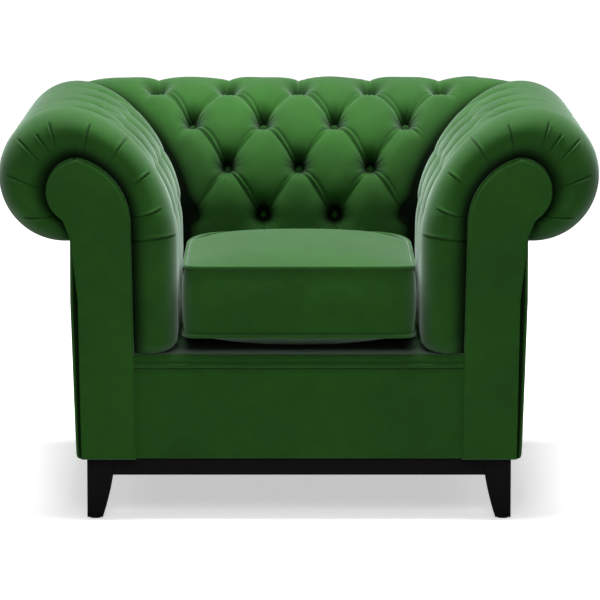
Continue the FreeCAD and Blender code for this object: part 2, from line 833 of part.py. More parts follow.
# A closed solid between two grids of points, of flat triangles. The diagonal of each cell runs along the pleats.
def grid_solid(outer, inner, slanted):
    points = [p for line in outer for p in line] + [p for line in inner for p in line]
    tall, wide = len(outer), len(outer[0])
    second = tall * wide
    facets = []

    def spot(i, j, base=0):
        return base + i * wide + j

    for i in range(tall - 1):
        for j in range(wide - 1):
            for base, flip in ((0, False), (second, True)):
                a, b = spot(i, j, base), spot(i, j + 1, base)
                c, d = spot(i + 1, j + 1, base), spot(i + 1, j, base)
                pair = [(a, b, c), (a, c, d)] if slanted(i, j) else [(a, b, d), (b, c, d)]
                facets += [t[::-1] if flip else t for t in pair]
    rim = [(0, j) for j in range(wide - 1)] + [(i, wide - 1) for i in range(tall - 1)]
    rim += [(tall - 1, j) for j in range(wide - 1, 0, -1)] + [(i, 0) for i in range(tall - 1, 0, -1)]
    for (i, j), (k, l) in zip(rim, rim[1:] + rim[:1]):
        a, b = spot(i, j), spot(k, l)
        facets += [(b, a, a + second), (b, a + second, b + second)]
    return facet_solid(points, facets)


def facet_solid(points, facets):
    shape = Part.Shape()
    shape.makeShapeFromMesh((points, facets), 0.001)
    solid = Part.makeSolid(shape)
    if solid.Volume < 0:
        solid.reverse()
    return solid


def put(name, label, shape):
    piece = doc.addObject("Part::Feature", name)
    piece.Shape = shape
    return keep(piece, label)


def plain_cells(i, j):
    return True


def pleated(first_column, direction):
    def slanted(i, j):
        column, row = first_column + direction * j, rows[i][2]
        ends = [(column, row), (column + direction, row + 1)]
        if any(has_button(*end) for end in ends):
            return True
        ends = [(column + direction, row), (column, row + 1)]
        if any(has_button(*end) for end in ends):
            return False
        return (column % 2 == 0) != (row % 2 == 0)
    return slanted


def as_arm(grid):
    return [[Vector(seat_half.value + p.x, p.y, p.z) for p in line] for line in grid]


def as_back(grid):
    return [[Vector(p.y, seat_back.value + p.x, p.z) for p in line] for line in grid]


def lining_grid(span, thickness):
    places = [(part, k / LINING_STEPS, 0) for part in range(3) for k in range(LINING_STEPS)] + [(2, 1.0, 0)]
    return [list(span(*board_point(spot, lining_clearance(spot[0]) + thickness))) for spot in places]


def arm_span(reach, height):
    mitre = seat_back.value + reach - number("mitreGap")
    start = board_front.value + number("liningInset")
    return Vector(reach, start, height), Vector(reach, mitre, height)


def back_span(reach, height):
    half = seat_half.value + reach - number("mitreGap")
    return Vector(reach, -half, height), Vector(reach, half, height)


# A covered button: a dome with a tapered back that sits in its pit
BUTTON_SIDES = 8
BUTTON_CROWN = (0.62, 0.8)


def button_at(point, normal):
    radius, back, dome = number("buttonRadius"), number("buttonBack"), number("buttonDome")
    rings = [(radius, back), (radius * BUTTON_CROWN[0], back + dome * BUTTON_CROWN[1])]
    turn = FreeCAD.Rotation(Vector(0, 0, 1), normal)
    points = [Vector(0, 0, 0), Vector(0, 0, back + dome)]
    for across, up in rings:
        for k in range(BUTTON_SIDES):
            angle = 2 * math.pi * k / BUTTON_SIDES
            points.append(Vector(across * math.cos(angle), across * math.sin(angle), up))
    facets = []
    for k in range(BUTTON_SIDES):
        near, far = 2 + k, 2 + (k + 1) % BUTTON_SIDES
        high, high_far = near + BUTTON_SIDES, far + BUTTON_SIDES
        facets += [(0, far, near), (near, far, high_far), (near, high_far, high), (high, high_far, 1)]
    seat = point + normal * number("buttonGap")
    return facet_solid([seat + turn.multVec(p) for p in points], facets)


def seat_of_button(row):
    part, share, step = row
    (reach, height), normal = walk(crest[part], share)
    depth = number("buttonDepth")
    return (reach - normal[0] * depth, height - normal[1] * depth), normal


def make_arm_upholstery():
    gap, cloth, lining = number("restGap"), number("coverThickness"), number("liningThickness")
    outer = arm_grid()
    mitre = [-1]
    inner = offset_grid(outer, cloth, mitre)
    band = len(BAND_SHARES)
    cells = pleated(LAST_COLUMN + band, -1)
    cover = grid_solid(as_arm(outer), as_arm(inner), cells)
    foam_outer = offset_grid(outer, cloth + gap, mitre)
    foam_inner = []
    band_end = outer[0][band].y
    for i, row in enumerate(rows):
        reach, height = board_point(row, foam_clearance(row[0]))
        start = outer[i][0].y + 2 * cloth
        line = []
        for j, point in enumerate(outer[i]):
            along = start + (band_end - start) * j / band if j < band else point.y
            line.append(Vector(reach, along, height))
        line[-1] = on_mitre(line[-1])
        line[-2].y = line[-1].y - (line[-1].y - line[-4].y) / 3
        line[-3].y = line[-1].y - (line[-1].y - line[-4].y) * 2 / 3
        foam_inner.append(line)
    foam = grid_solid(as_arm(foam_outer), as_arm(foam_inner), cells)
    sheet_outer = lining_grid(arm_span, lining)
    sheet_inner = lining_grid(arm_span, 0.0)
    sheet_solid = grid_solid(as_arm(sheet_outer), as_arm(sheet_inner), plain_cells)
    buttons = []
    for row in rows:
        for column in range(2, LAST_COLUMN - 1, 2):
            if has_button(column, row[2]):
                (reach, height), normal = seat_of_button(row)
                along = seat_back.value + past_corner(column, reach, arm_step)[0]
                buttons.append(button_at(Vector(seat_half.value + reach, along, height),
                                         Vector(normal[0], 0, normal[1])))
    names = ("inside_arm_cover", "arm_foam", "arm_lining", "arm_buttons")
    for name, shape in zip(names, (cover, foam, sheet_solid, Part.makeCompound(buttons))):
        right = put("right_" + name, "right_" + name, shape)
        keep(mirrored("left_" + name, right, Vector(1, 0, 0)), "left_" + name)


def offset_back(grid, distance):
    moved = offset_grid(grid, distance, [])
    for line in moved:
        line[0], line[-1] = on_back_mitre(line[0]), on_back_mitre(line[-1])
    return moved


def make_back_upholstery():
    gap, cloth, lining = number("restGap"), number("coverThickness"), number("liningThickness")
    outer = back_grid()
    inner = offset_back(outer, cloth)
    cells = pleated(-BACK_COLUMNS - 3, 1)
    put("inside_back_cover", "inside_back_cover", grid_solid(as_back(outer), as_back(inner), cells))
    foam_outer = offset_back(outer, cloth + gap)
    foam_inner = []
    count = len(outer[0]) - 1
    for row in rows:
        reach, height = board_point(row, foam_clearance(row[0]))
        ends = back_span(reach, height)
        line = [ends[0] + (ends[1] - ends[0]) * (k / count) for k in range(count + 1)]
        foam_inner.append(line)
    put("back_foam", "back_foam", grid_solid(as_back(foam_outer), as_back(foam_inner), cells))
    sheet_outer = lining_grid(back_span, lining)
    sheet_inner = lining_grid(back_span, 0.0)
    put("back_lining", "back_lining", grid_solid(as_back(sheet_outer), as_back(sheet_inner), plain_cells))
    buttons = []
    for row in rows:
        corner_reach = crest_point(row, fold_depth(row[2]))[0]
        for column in range(-BACK_COLUMNS - 2, BACK_COLUMNS + 3, 2):
            over = abs(column) - BACK_COLUMNS
            if not has_button(column, row[2]) or (over > 0 and not past_corner(-over, corner_reach, back_step)[1]):
                continue
            (reach, height), normal = seat_of_button(row)
            point = Vector(column * back_step, seat_back.value + reach, height)
            buttons.append(button_at(point, Vector(0, normal[0], normal[1])))
    put("back_buttons", "back_buttons", Part.makeCompound(buttons))


# The loose cushion: a crowned box form with drawn-in sides, at a given distance inside its outer surface
CUSHION_STEPS = [-1.0, -0.9, -0.7, -0.4, 0.0, 0.4, 0.7, 0.9, 1.0]
CROWN_SQUARENESS = 2.4
CROWN_EASE = 0.6


def cushion_grid(upper, inset):
    half = number("cushionHalfWidth")
    near = front.value + number("cushionFrontInset")
    far = seat_back.value - number("cushionRearGap")
    middle, reach = (near + far) / 2, (far - near) / 2
    seam = number("cushionTopSeam") - inset if upper else number("cushionBottomSeam") + inset
    belly = (number("cushionTopSeam") + number("cushionBottomSeam")) / 2
    drop = number("cushionBottomSeam") - number("deckHeight") - number("restGap")
    rise = number("cushionCrown") if upper else -drop
    grid = []
    for b in [None] + CUSHION_STEPS + [None]:
        line = []
        for a in [None] + CUSHION_STEPS + [None]:
            rim = a is None or b is None
            column, row = len(line), len(grid)
            sa = a if a is not None else (-1.0 if column == 0 else 1.0)
            sb = b if b is not None else (-1.0 if row == 0 else 1.0)
            pull_a = number("cushionPullIn") * (1 - sb ** 2) * sa
            pull_b = number("cushionPullIn") * (1 - sa ** 2) * sb
            cut = number("cushionCornerCut") if abs(sa) == 1 and abs(sb) == 1 else 0.0
            bulge = number("cushionSideBulge") if rim else 0.0
            x = sa * (half - inset) - pull_a + (bulge - cut) * sa * (1 if abs(sa) == 1 else 0)
            y = middle + sb * (reach - inset) - pull_b + (bulge - cut) * sb * (1 if abs(sb) == 1 else 0)
            dome = ((1 - abs(sa) ** CROWN_SQUARENESS) * (1 - abs(sb) ** CROWN_SQUARENESS)) ** CROWN_EASE
            z = belly if rim else seam + rise * dome
            line.append(Vector(x, y, z))
        grid.append(line)
    return grid


# Two grids that share their rim enclose the cushion. The corners of the rim repeat a point, so empty triangles
# are left out.
def cushion_solid(inset):
    grids = [cushion_grid(True, inset), cushion_grid(False, inset)]
    points, places, facets = [], {}, []
    for upper, grid in zip((True, False), grids):
        for i in range(len(grid) - 1):
            for j in range(len(grid[0]) - 1):
                corners = [grid[i][j], grid[i][j + 1], grid[i + 1][j + 1], grid[i + 1][j]]
                keys = []
                for p in corners:
                    key = (round(p.x, 3), round(p.y, 3), round(p.z, 3))
                    if key not in places:
                        places[key] = len(points)
                        points.append(p)
                    keys.append(places[key])
                for facet in (keys[0], keys[1], keys[2]), (keys[0], keys[2], keys[3]):
                    if len(set(facet)) == 3:
                        facets.append(facet if upper else facet[::-1])
    return facet_solid(points, facets)


PIPING_SIDES = 6
PIPING_LEAN = (0.62, 0.9)
CORNER_STEPS = 5


def piping_loop(height):
    radius, corner = number("pipingRadius"), number("pipingCorner")
    out = radius * PIPING_LEAN[0]
    half = number("cushionHalfWidth") + out
    near = front.value + number("cushionFrontInset") - out
    far = seat_back.value - number("cushionRearGap") + out
    quarters = [(half, near, 270), (half, far, 0), (-half, far, 90), (-half, near, 180)]
    rings = []
    for x, y, first in quarters:
        centre_x = x - math.copysign(corner, x)
        centre_y = y + corner if y == near else y - corner
        for k in range(CORNER_STEPS + 1):
            angle = math.radians(first + 90 * k / CORNER_STEPS)
            outward = Vector(math.cos(angle), math.sin(angle), 0)
            spine = Vector(centre_x, centre_y, height) + outward * corner
            ring = []
            for side in range(PIPING_SIDES):
                turn = 2 * math.pi * side / PIPING_SIDES
                ring.append(spine + outward * (radius * math.cos(turn))
                            + Vector(0, 0, radius * math.sin(turn)))
            rings.append(ring)
    points = [p for ring in rings for p in ring]
    facets = []
    for i in range(len(rings)):
        for k in range(PIPING_SIDES):
            a = i * PIPING_SIDES + k
            b = i * PIPING_SIDES + (k + 1) % PIPING_SIDES
            c = (a + PIPING_SIDES) % len(points)
            d = (b + PIPING_SIDES) % len(points)
            facets += [(a, c, d), (a, d, b)]
    return facet_solid(points, facets)


def make_cushion():
    cloth, gap = number("cushionClothThickness"), number("restGap")
    zip_half = size("zipLength") / 2
    zip_face = seat_back - size("cushionRearGap") + size("cushionSideBulge")
    belly = (size("cushionTopSeam") + size("cushionBottomSeam")) / 2
    low = belly - size("zipWidth") / 2
    tape = box("zip_tape", (zip_half * 2, size("zipThickness"), size("zipWidth")),
               (-zip_half, zip_face - size("zipThickness"), low))
    keep(tape, "cushion_zip")
    slider = box("zip_slider_body", (size("sliderLength"), size("sliderThickness"), size("sliderWidth")),
                 (-zip_half, zip_face + size("restGap"), belly - size("sliderWidth") / 2))
    keep(slider, "zip_slider")
    slot = Part.makeBox(2 * (zip_half.value + gap), 4 * cloth, number("zipWidth") + 2 * gap,
                        Vector(-zip_half.value - gap, zip_face.value - 3 * cloth, low.value - gap))
    put("cushion_cover", "cushion_cover", cushion_solid(0.0).cut(cushion_solid(cloth)).cut(slot))
    put("cushion_foam", "cushion_foam", cushion_solid(cloth + gap))
    rise = number("pipingRadius") * PIPING_LEAN[1]
    put("cushion_top_welt", "cushion_top_welt", piping_loop(number("cushionTopSeam") + rise))
    put("cushion_bottom_welt", "cushion_bottom_welt", piping_loop(number("cushionBottomSeam") - rise))


# The sprung deck under the cushion
def spring_outline(middle):
    half, wire = number("springHalfWidth"), number("springWire") / 2
    near = rail_front.value + number("seatRailThickness") / 2
    far = rail_rear.value - number("seatRailThickness") / 2
    step = (far - near) / (SPRING_BARS - 1)
    path = []
    for bar in range(SPRING_BARS):
        side = -half if bar % 2 else half
        path += [(middle - side, near + bar * step), (middle + side, near + bar * step)]
    runs = []
    for (a, b), (c, d) in zip(path, path[1:]):
        length = math.hypot(c - a, d - b)
        runs.append((-(d - b) / length, (c - a) / length))
    normals = [runs[0]] + [(p[0] + q[0], p[1] + q[1]) for p, q in zip(runs, runs[1:])] + [runs[-1]]
    one = [Vector(x + n[0] * wire, y + n[1] * wire, 0) for (x, y), n in zip(path, normals)]
    other = [Vector(x - n[0] * wire, y - n[1] * wire, 0) for (x, y), n in zip(path, normals)]
    return one + other[::-1]


def make_deck():
    spring_base = rail_top.value + number("clipThickness") + number("restGap")
    springs, clips = [], []
    for index in range(SPRING_COUNT):
        middle = (index - (SPRING_COUNT - 1) / 2) * number("springSpacing")
        outline = spring_outline(middle)
        face = Part.Face(Part.makePolygon(outline + outline[:1]))
        springs.append(face.extrude(Vector(0, 0, number("springWire"))).translated(Vector(0, 0, spring_base)))
        for facing, place_y in ((1, rail_front.value), (-1, rail_rear.value)):
            clips.append(spring_clip(middle, place_y + facing * number("seatRailThickness") / 2, facing))
    put("seat_springs", "seat_springs", Part.makeCompound(springs))
    put("spring_clips", "spring_clips", Part.makeCompound(clips))
    half = size("deckHalfWidth")
    pad_top = size("deckHeight") - size("deckClothThickness") - size("restGap")
    pad_low = pad_top - size("deckPadThickness")
    depth = seat_back + size("boardFoot") - rail_front
    nose = size("deckLipRadius") - size("deckClothThickness") - size("restGap")
    pad_rear = seat_back + size("boardFoot")
    pad = [
        (rail_front, pad_low, None, 0),
        (pad_rear, pad_low, None, 0),
        (pad_rear, pad_top, None, 0),
        (rail_front + nose, pad_top, nose, 1),
        (rail_front, pad_top - nose, None, 0),
    ]
    keep(profile_body("deck_pad", "YZ_Plane", pad, half * 2, (0, 0, 0), midplane=True), "seat_deck_pad")
    keep(box("spring_insulator", (half * 2, depth, size("insulatorThickness")),
             (-half, rail_front, pad_low - size("insulatorThickness"))), "spring_insulator")
    lip = size("deckLipRadius")
    cloth = size("deckClothThickness")
    top = size("deckHeight")
    rear = seat_back + size("boardFoot")
    lip_front = rail_front - size("restGap") - cloth
    deck = [
        (rear, top - cloth, None, 0),
        (rear, top, None, 0),
        (lip_front + lip, top, lip, 1),
        (lip_front, top - lip, None, 0),
        (lip_front, top - lip - cloth, None, 0),
        (lip_front + cloth, top - lip - cloth, None, 0),
        (lip_front + cloth, top - lip, lip - cloth, -1),
        (lip_front + lip, top - cloth, None, 0),
    ]
    keep(profile_body("deck_sheet", "YZ_Plane", deck, half * 2, (0, 0, 0), midplane=True), "deck_cover")
    welt = doc.addObject("Part::Cylinder", "deck_welt_rod")
    welt.setExpression("Radius", size("weltRadius").text)
    welt.setExpression("Height", (half * 2).text)
    welt.Placement = FreeCAD.Placement(Vector(0, 0, 0), FreeCAD.Rotation(Vector(0, 1, 0), 90))
    welt_y = lip_front - size("weltRadius") + cloth
    place(welt, -half, welt_y, top - lip - cloth - size("weltRadius") - size("restGap"))
    keep(welt, "deck_welt")
    border_top = top - lip - cloth - size("weltRadius") * 2 - size("restGap") * 2
    face = -size("borderFront")
    back = face + size("borderThickness")
    border = [
        (face, size("borderBottom"), None, 0),
        (back, size("borderBottom"), None, 0),
        (back, border_top, None, 0),
        (face, border_top, size("borderCrownRadius"), 1),
    ]
    keep(profile_body("border_panel", "YZ_Plane", border, half * 2, (0, 0, 0), midplane=True),
         "front_border")
    inner = size("legOutset") - size("baseRailRecess") - size("baseRailThickness")
    near = front + size("legInset") + size("legTopWidth")
    far = size("rearLegFace") - size("legTopWidth")
    keep(box("dust_cloth", (inner * 2, far - near, size("dustClothThickness")),
             (-inner, near, size("legHeight") - size("dustClothThickness"))), "dust_cover")


# A spring clip: a bent plate on the rail, folded over the end bar of its spring
def spring_clip(middle, along, facing):
    plate, wire, gap = number("clipThickness"), number("springWire"), number("restGap")
    low = rail_top.value
    reach, lip = wire / 2 + gap, wire + 4
    top = low + plate + wire + 2 * gap
    outline = [
        (lip, low), (-reach - plate, low), (-reach - plate, top + plate), (lip, top + plate),
        (lip, top), (-reach, top), (-reach, low + plate), (lip, low + plate), (lip, low),
    ]
    wire_shape = Part.makePolygon([Vector(0, along + facing * y, z) for y, z in outline])
    half = number("clipWidth") / 2
    return Part.Face(wire_shape).extrude(Vector(2 * half, 0, 0)).translated(Vector(middle - half, 0, 0))


# The flat outside panels of the arms and the back
def outside_corners(origin, inner_top, inner_foot):
    low = size("borderBottom")
    return [
        (origin + inner_foot, low, None, 0),
        (origin + size("outsidePanelFoot"), low, size("outsideFootRadius"), 1),
        (origin + size("outsidePanelBreak"), size("outsidePanelBreakHeight"), None, 0),
        (origin + size("outsidePanelTop"), size("boardOuterHeight"), None, 0),
        (origin + size("outsidePanelTop"), size("outsidePanelHeight"), None, 0),
        (origin + inner_top, size("outsidePanelHeight"), None, 0),
        (origin + size("boardOuter") + size("restGap"), size("boardOuterHeight"), None, 0),
    ]


def make_outside_panels():
    rise = (size("outsidePanelHeight") - size("boardOuterHeight")) / \
        (size("boardNeckHeight") - size("boardOuterHeight"))
    inner_top = size("boardOuter") + (size("boardNeck") - size("boardOuter")) * rise + size("restGap")
    inner_foot = size("boardOuterFoot") + size("restGap")
    rear = seat_back + size("outsidePanelTop")
    arm = profile_body("right_outside_panel", "XZ_Plane",
                       outside_corners(seat_half, inner_top, inner_foot),
                       rear - board_front, (0, rear, 0))
    both_sides("outside_arm_cover", arm)
    half = seat_half + size("boardOuterFoot")
    back = profile_body("outside_back_panel", "YZ_Plane",
                        outside_corners(seat_back, inner_top, inner_foot),
                        half * 2, (0, 0, 0), midplane=True)
    keep(back, "outside_back_cover")


make_base()
make_seat_frame()
make_arm_and_back_frame()
make_outside_panels()
make_deck()
make_arm_upholstery()
make_back_upholstery()
make_cushion()
doc.recompute()

for item in doc.Objects:
    if "Invalid" in item.State or "Error" in item.State:
        raise RuntimeError("failed: " + item.Label + " " + str(item.State))
os.makedirs("parts", exist_ok=True)
for piece in parts:
    if piece.Shape.isNull() or not piece.Shape.isValid():
        raise RuntimeError("not valid: " + piece.Label)
    piece.Shape.exportStep("parts/" + piece.Label + ".step")
print(len(parts), "pieces")
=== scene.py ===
import bpy
import json
import math
import numpy as np
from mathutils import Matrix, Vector


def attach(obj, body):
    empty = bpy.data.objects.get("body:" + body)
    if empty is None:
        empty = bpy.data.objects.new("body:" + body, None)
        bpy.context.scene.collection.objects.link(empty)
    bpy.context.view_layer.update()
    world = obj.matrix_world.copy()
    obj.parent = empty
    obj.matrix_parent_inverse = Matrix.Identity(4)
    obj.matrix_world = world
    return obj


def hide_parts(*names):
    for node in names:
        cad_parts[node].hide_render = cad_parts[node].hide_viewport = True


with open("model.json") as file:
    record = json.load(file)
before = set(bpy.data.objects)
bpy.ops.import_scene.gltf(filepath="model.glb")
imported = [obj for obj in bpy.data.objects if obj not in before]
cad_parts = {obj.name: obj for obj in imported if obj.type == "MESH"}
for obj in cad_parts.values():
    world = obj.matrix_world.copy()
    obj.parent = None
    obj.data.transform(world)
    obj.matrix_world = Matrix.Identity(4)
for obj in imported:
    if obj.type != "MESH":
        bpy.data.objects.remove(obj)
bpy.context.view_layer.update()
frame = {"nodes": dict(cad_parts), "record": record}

# the line that the arm and back pads follow: reach outwards from the seat, and height
profile = {
    "seatHalf": 0.227, "seatBack": 0.122, "front": -0.455,
    "padBottom": 0.3113, "padCorner": 0.030,
    "shoulder": 0.520, "shoulderPull": 0.120,
    "crownReach": 0.208, "crownPull": 0.105, "height": 0.770,
    "rollRadius": 0.125, "rollEnd": -94,
}
# the scroll boards behind the facings, as (reach, height)
boards = {
    "foot": (0.079, 0.115), "shoulder": (0.088, 0.553), "crown": (0.183, 0.678),
    "innerRadius": 0.128, "headRadius": 0.058,
    "throat": (0.211, 0.566), "neck": (0.197, 0.531),
    "outer": (0.183, 0.414), "outerFoot": (0.178, 0.115),
}
mitreGap = 0.0005      # each pad stops this far from the mitre
seatHalf, seatBack = profile["seatHalf"], profile["seatBack"]


def arcPoints(middle, radius, first, last, steps=160):
    turn = np.radians(np.linspace(first, last, steps))
    return np.stack([middle[0] + radius * np.cos(turn), middle[1] + radius * np.sin(turn)], axis=1)


def straightPoints(start, finish, steps=60):
    share = np.linspace(0, 1, steps)[:, None]
    return np.array(start) * (1 - share) + np.array(finish) * share


def cubicPoints(p0, p1, p2, p3, steps=240):
    t = np.linspace(0, 1, steps)[:, None]
    return ((1 - t) ** 3 * np.array(p0) + 3 * t * (1 - t) ** 2 * np.array(p1)
            + 3 * t ** 2 * (1 - t) * np.array(p2) + t ** 3 * np.array(p3))


def arcBetween(start, finish, radius):
    chord = np.array(finish) - np.array(start)
    length = np.hypot(*chord)
    right = np.array([chord[1], -chord[0]]) / length
    middle = (np.array(start) + np.array(finish)) / 2 + right * math.sqrt(radius ** 2 - length ** 2 / 4)
    a, b = (math.degrees(math.atan2(p[1] - middle[1], p[0] - middle[0])) for p in (start, finish))
    if b > a:
        b -= 360
    return arcPoints(middle, radius, a, b)


class Line:
    # a line through points in (reach, height) that can be read at any run along it
    def __init__(self, parts):
        points = [parts[0]]
        self.ends = [0.0]
        for part in parts:
            steps = np.hypot(*np.diff(part, axis=0).T)
            self.ends.append(self.ends[-1] + steps.sum())
        for part in parts[1:]:
            points.append(part[1:])
        self.points = np.concatenate(points)
        steps = np.hypot(*np.diff(self.points, axis=0).T)
        self.runs = np.concatenate([[0], np.cumsum(steps)])
        ahead = np.gradient(self.points, self.runs, axis=0)
        ahead /= np.hypot(*ahead.T)[:, None]
        self.normals = np.stack([-ahead[:, 1], ahead[:, 0]], axis=1)

    def at(self, run):
        return [np.interp(run, self.runs, self.points[:, k]) for k in (0, 1)]

    def normal(self, run):
        n = [np.interp(run, self.runs, self.normals[:, k]) for k in (0, 1)]
        size = np.hypot(*n)
        return [n[0] / size, n[1] / size]


corner = profile["padCorner"]
low = profile["padBottom"]
crown = (profile["crownReach"], profile["height"])
crest = Line([
    np.concatenate([arcPoints((corner, low + corner), corner, 270, 180),
                    straightPoints((0, low + corner), (0, profile["shoulder"]))[1:]]),
    cubicPoints((0, profile["shoulder"]), (0, profile["shoulder"] + profile["shoulderPull"]),
                (crown[0] - profile["crownPull"], crown[1]), crown),
    arcPoints((crown[0], crown[1] - profile["rollRadius"]), profile["rollRadius"], 90, profile["rollEnd"]),
])
headSide = (boards["crown"][0] + boards["headRadius"], boards["crown"][1] - boards["headRadius"])
slope = (boards["shoulder"][0] - boards["foot"][0]) / (boards["shoulder"][1] - boards["foot"][1])
boardFoot = (boards["foot"][0] + slope * (low - boards["foot"][1]), low)
headLine = [
    arcBetween(boards["shoulder"], boards["crown"], boards["innerRadius"]),
    arcBetween(boards["crown"], headSide, boards["headRadius"]),
    arcBetween(headSide, boards["throat"], boards["headRadius"]),
]
boardEdge = Line([
    straightPoints(boardFoot, boards["shoulder"]),
    headLine[0],
    np.concatenate([headLine[1], headLine[2][1:], straightPoints(boards["throat"], boards["neck"])[1:]]),
])


def boardRun(run):
    return np.interp(run, crest.ends, boardEdge.ends)


tufts = {
    "column": 0.071, "row": 0.105, "lowest": 0.508, "rows": 4, "cornerGap": 0.014,
    "pillow": 0.0125, "fullness": 2.7, "steepness": 0.80,
    "over": 0.0085, "under": 0.010,      # channels above the top buttons and below the lowest
    "corner": 0.020, "cornerWidth": 0.026, "cornerShade": 0.9,
}
pits = {"depth": 0.0285, "width": 0.0185, "sharpness": 1.5, "above": 1.32, "below": 0.82}
pitShade = {"width": 0.0180, "sharpness": 2.2, "above": 1.65, "below": 0.72}
gathers = {"depth": 0.00105, "ring": 0.0205, "width": 0.0095, "coarse": 13, "fine": 19}
folds = {
    "bow": 0.007, "apart": 0.0036, "swell": 0.0010, "width": 0.0019,
    "upper": 0.0042, "lower": 0.0030, "ridge": 0.0016, "ridgeWidth": 0.0026,
    "thin": 0.0026, "thinWidth": 0.0020,
}
pleats = {
    "count": 3, "apart": 0.007, "wander": 0.008, "lean": 0.12, "shortest": 0.05, "longest": 0.10,
    "depth": 0.0021, "width": 0.0019,
}
tail = {"depth": 0.0040, "width": 0.0024}      # the crease straight down from each lowest button
unevenness = [(0.0007, 41, 23, 1.0), (0.0006, 67, -38, 2.0)]      # height, waves along, waves up, start
lowRun = math.pi / 2 * corner + tufts["lowest"] - low - corner      # run of the lowest buttons


def pillow(a):
    return np.clip(1 - np.abs(a) ** tufts["fullness"], 0, 1) ** tufts["steepness"]


def smooth(x, low, high):
    t = np.clip((x - low) / (high - low), 0, 1)
    return t * t * (3 - 2 * t)


def gauss(x, width):
    return np.exp(-(x / width) ** 2)


def wrap(x):
    return x - 2 * np.round(x / 2)


def channelDepth(beyond, across, deepest, fadeOut):
    # past the outer buttons the diamonds turn into straight channels
    ending = smooth(beyond, 0, 0.6)
    channel = pillow(wrap(across)) ** (2 - ending)
    amount = deepest + (tufts["pillow"] - deepest) * (1 - ending)
    return amount * (1 - channel) * fadeOut


def pillowDepth(u, v):
    # u counts columns of buttons, v rows up from the lowest; buttons sit where both are whole and add up odd
    top = tufts["rows"] - 1
    inside = np.clip(v, 0, top)
    depth = tufts["pillow"] * (1 - pillow(wrap(u + inside)) * pillow(wrap(u - inside)))
    above = np.clip(v - top, 0, None)
    over = channelDepth(above, u + top, tufts["over"], 1 - smooth(above, 1.2, 3.4))
    under = channelDepth(np.clip(-v, 0, None), u, tufts["under"], 1)
    return np.where(v > top, over, np.where(v < 0, under, depth))


def buttonSpots(columns):
    spots = []
    for j in range(tufts["rows"]):
        for i in columns:
            # the back's outermost spots are inside the corner, apart from the top ones
            hidden = abs(i) == 4 and min(columns) < 0 and j < tufts["rows"] - 1
            if (i + j) % 2 and not hidden:
                spots.append((i, j))
    return spots


def doubleFold(x, r, start, lean, rng):
    # a fold from one button to the next one down, double on one diagonal and thin on the other
    end = (start[0] + lean * tufts["column"], start[1] - tufts["row"])
    run = np.array(end) - start
    length = np.hypot(*run)
    run = run / length
    t = ((x - start[0]) * run[0] + (r - start[1]) * run[1]) / length
    w = (x - start[0]) * -run[1] + (r - start[1]) * run[0]
    arch = np.sin(math.pi * np.clip(t, 0, 1))
    w = w - folds["bow"] * rng.uniform(0.7, 1.3) * lean * arch * (0.9 + 0.5 * np.cos(math.pi * t))
    reach = smooth(t, 0.02, 0.14) * (1 - smooth(t, 0.90, 1.0))
    if lean == 1:
        apart = folds["apart"] + folds["swell"] * arch
        fold = folds["upper"] * gauss(w - apart, folds["width"])
        fold = fold + folds["lower"] * gauss(w + apart, folds["width"])
        fold = fold - folds["ridge"] * gauss(w, folds["ridgeWidth"])
        return reach * rng.uniform(0.85, 1.15) * fold
    weak = 1 - 0.65 * gauss(t - 0.5, 0.22)
    return reach * weak * rng.uniform(0.75, 1.15) * folds["thin"] * gauss(w, folds["thinWidth"])


def tuftDepth(x, r, columns, seed):
    # x runs along the panel and r up the crest from the lowest buttons, in metres
    rng = np.random.default_rng(seed)
    depth = pillowDepth(x / tufts["column"], r / tufts["row"])
    for height, along, up, start in unevenness:
        depth += height * np.sin(along * x + up * r + start)
    paintedShade = np.zeros(depth.shape)
    spots = {spot: (spot[0] * tufts["column"], spot[1] * tufts["row"]) for spot in buttonSpots(columns)}
    for bx, br in spots.values():
        dx, dr = x - bx, r - br
        d = np.hypot(dx, dr / np.where(dr > 0, pits["above"], pits["below"]))
        depth += pits["depth"] * rng.uniform(0.93, 1.06) * np.exp(-(d / pits["width"]) ** pits["sharpness"])
        # painted shade: the velvet is darkened round each button pit, further above it than below
        d = np.hypot(dx, dr / np.where(dr > 0, pitShade["above"], pitShade["below"]))
        paintedShade += np.exp(-(d / pitShade["width"]) ** pitShade["sharpness"])
        turn = np.arctan2(dr, dx)
        gather = np.cos(gathers["coarse"] * turn + rng.uniform(0, 6.28))
        gather = gather + 0.7 * np.cos(gathers["fine"] * turn + rng.uniform(0, 6.28))
        ring = gauss(np.hypot(dx, dr) - gathers["ring"], gathers["width"])
        depth += gathers["depth"] * gather * ring * (0.2 + 0.8 * np.abs(np.sin(turn)) ** 1.5)
    for (i, j), start in spots.items():
        if j > 0:
            for lean in (1, -1):
                depth += doubleFold(x, r, start, lean, rng)
    for (i, j), (bx, br) in spots.items():
        if j == tufts["rows"] - 1:
            for k in range(pleats["count"]):
                lean = rng.uniform(-pleats["lean"], pleats["lean"])
                place = bx + rng.uniform(-pleats["wander"], pleats["wander"]) + (k - 1) * pleats["apart"]
                place = place + lean * (r - br)
                long = rng.uniform(pleats["shortest"], pleats["longest"])
                reach = smooth(r - br, 0.008, 0.02) * (1 - smooth(r - br, long * 0.5, long))
                depth += reach * pleats["depth"] * gauss(x - place, pleats["width"])
        if j == 0:
            reach = smooth(br - r, 0.006, 0.02) * (1 - smooth(br - r, 0.10, 0.16))
            depth += reach * tail["depth"] * gauss(x - bx, tail["width"])
    return depth, np.clip(paintedShade, 0, 1)


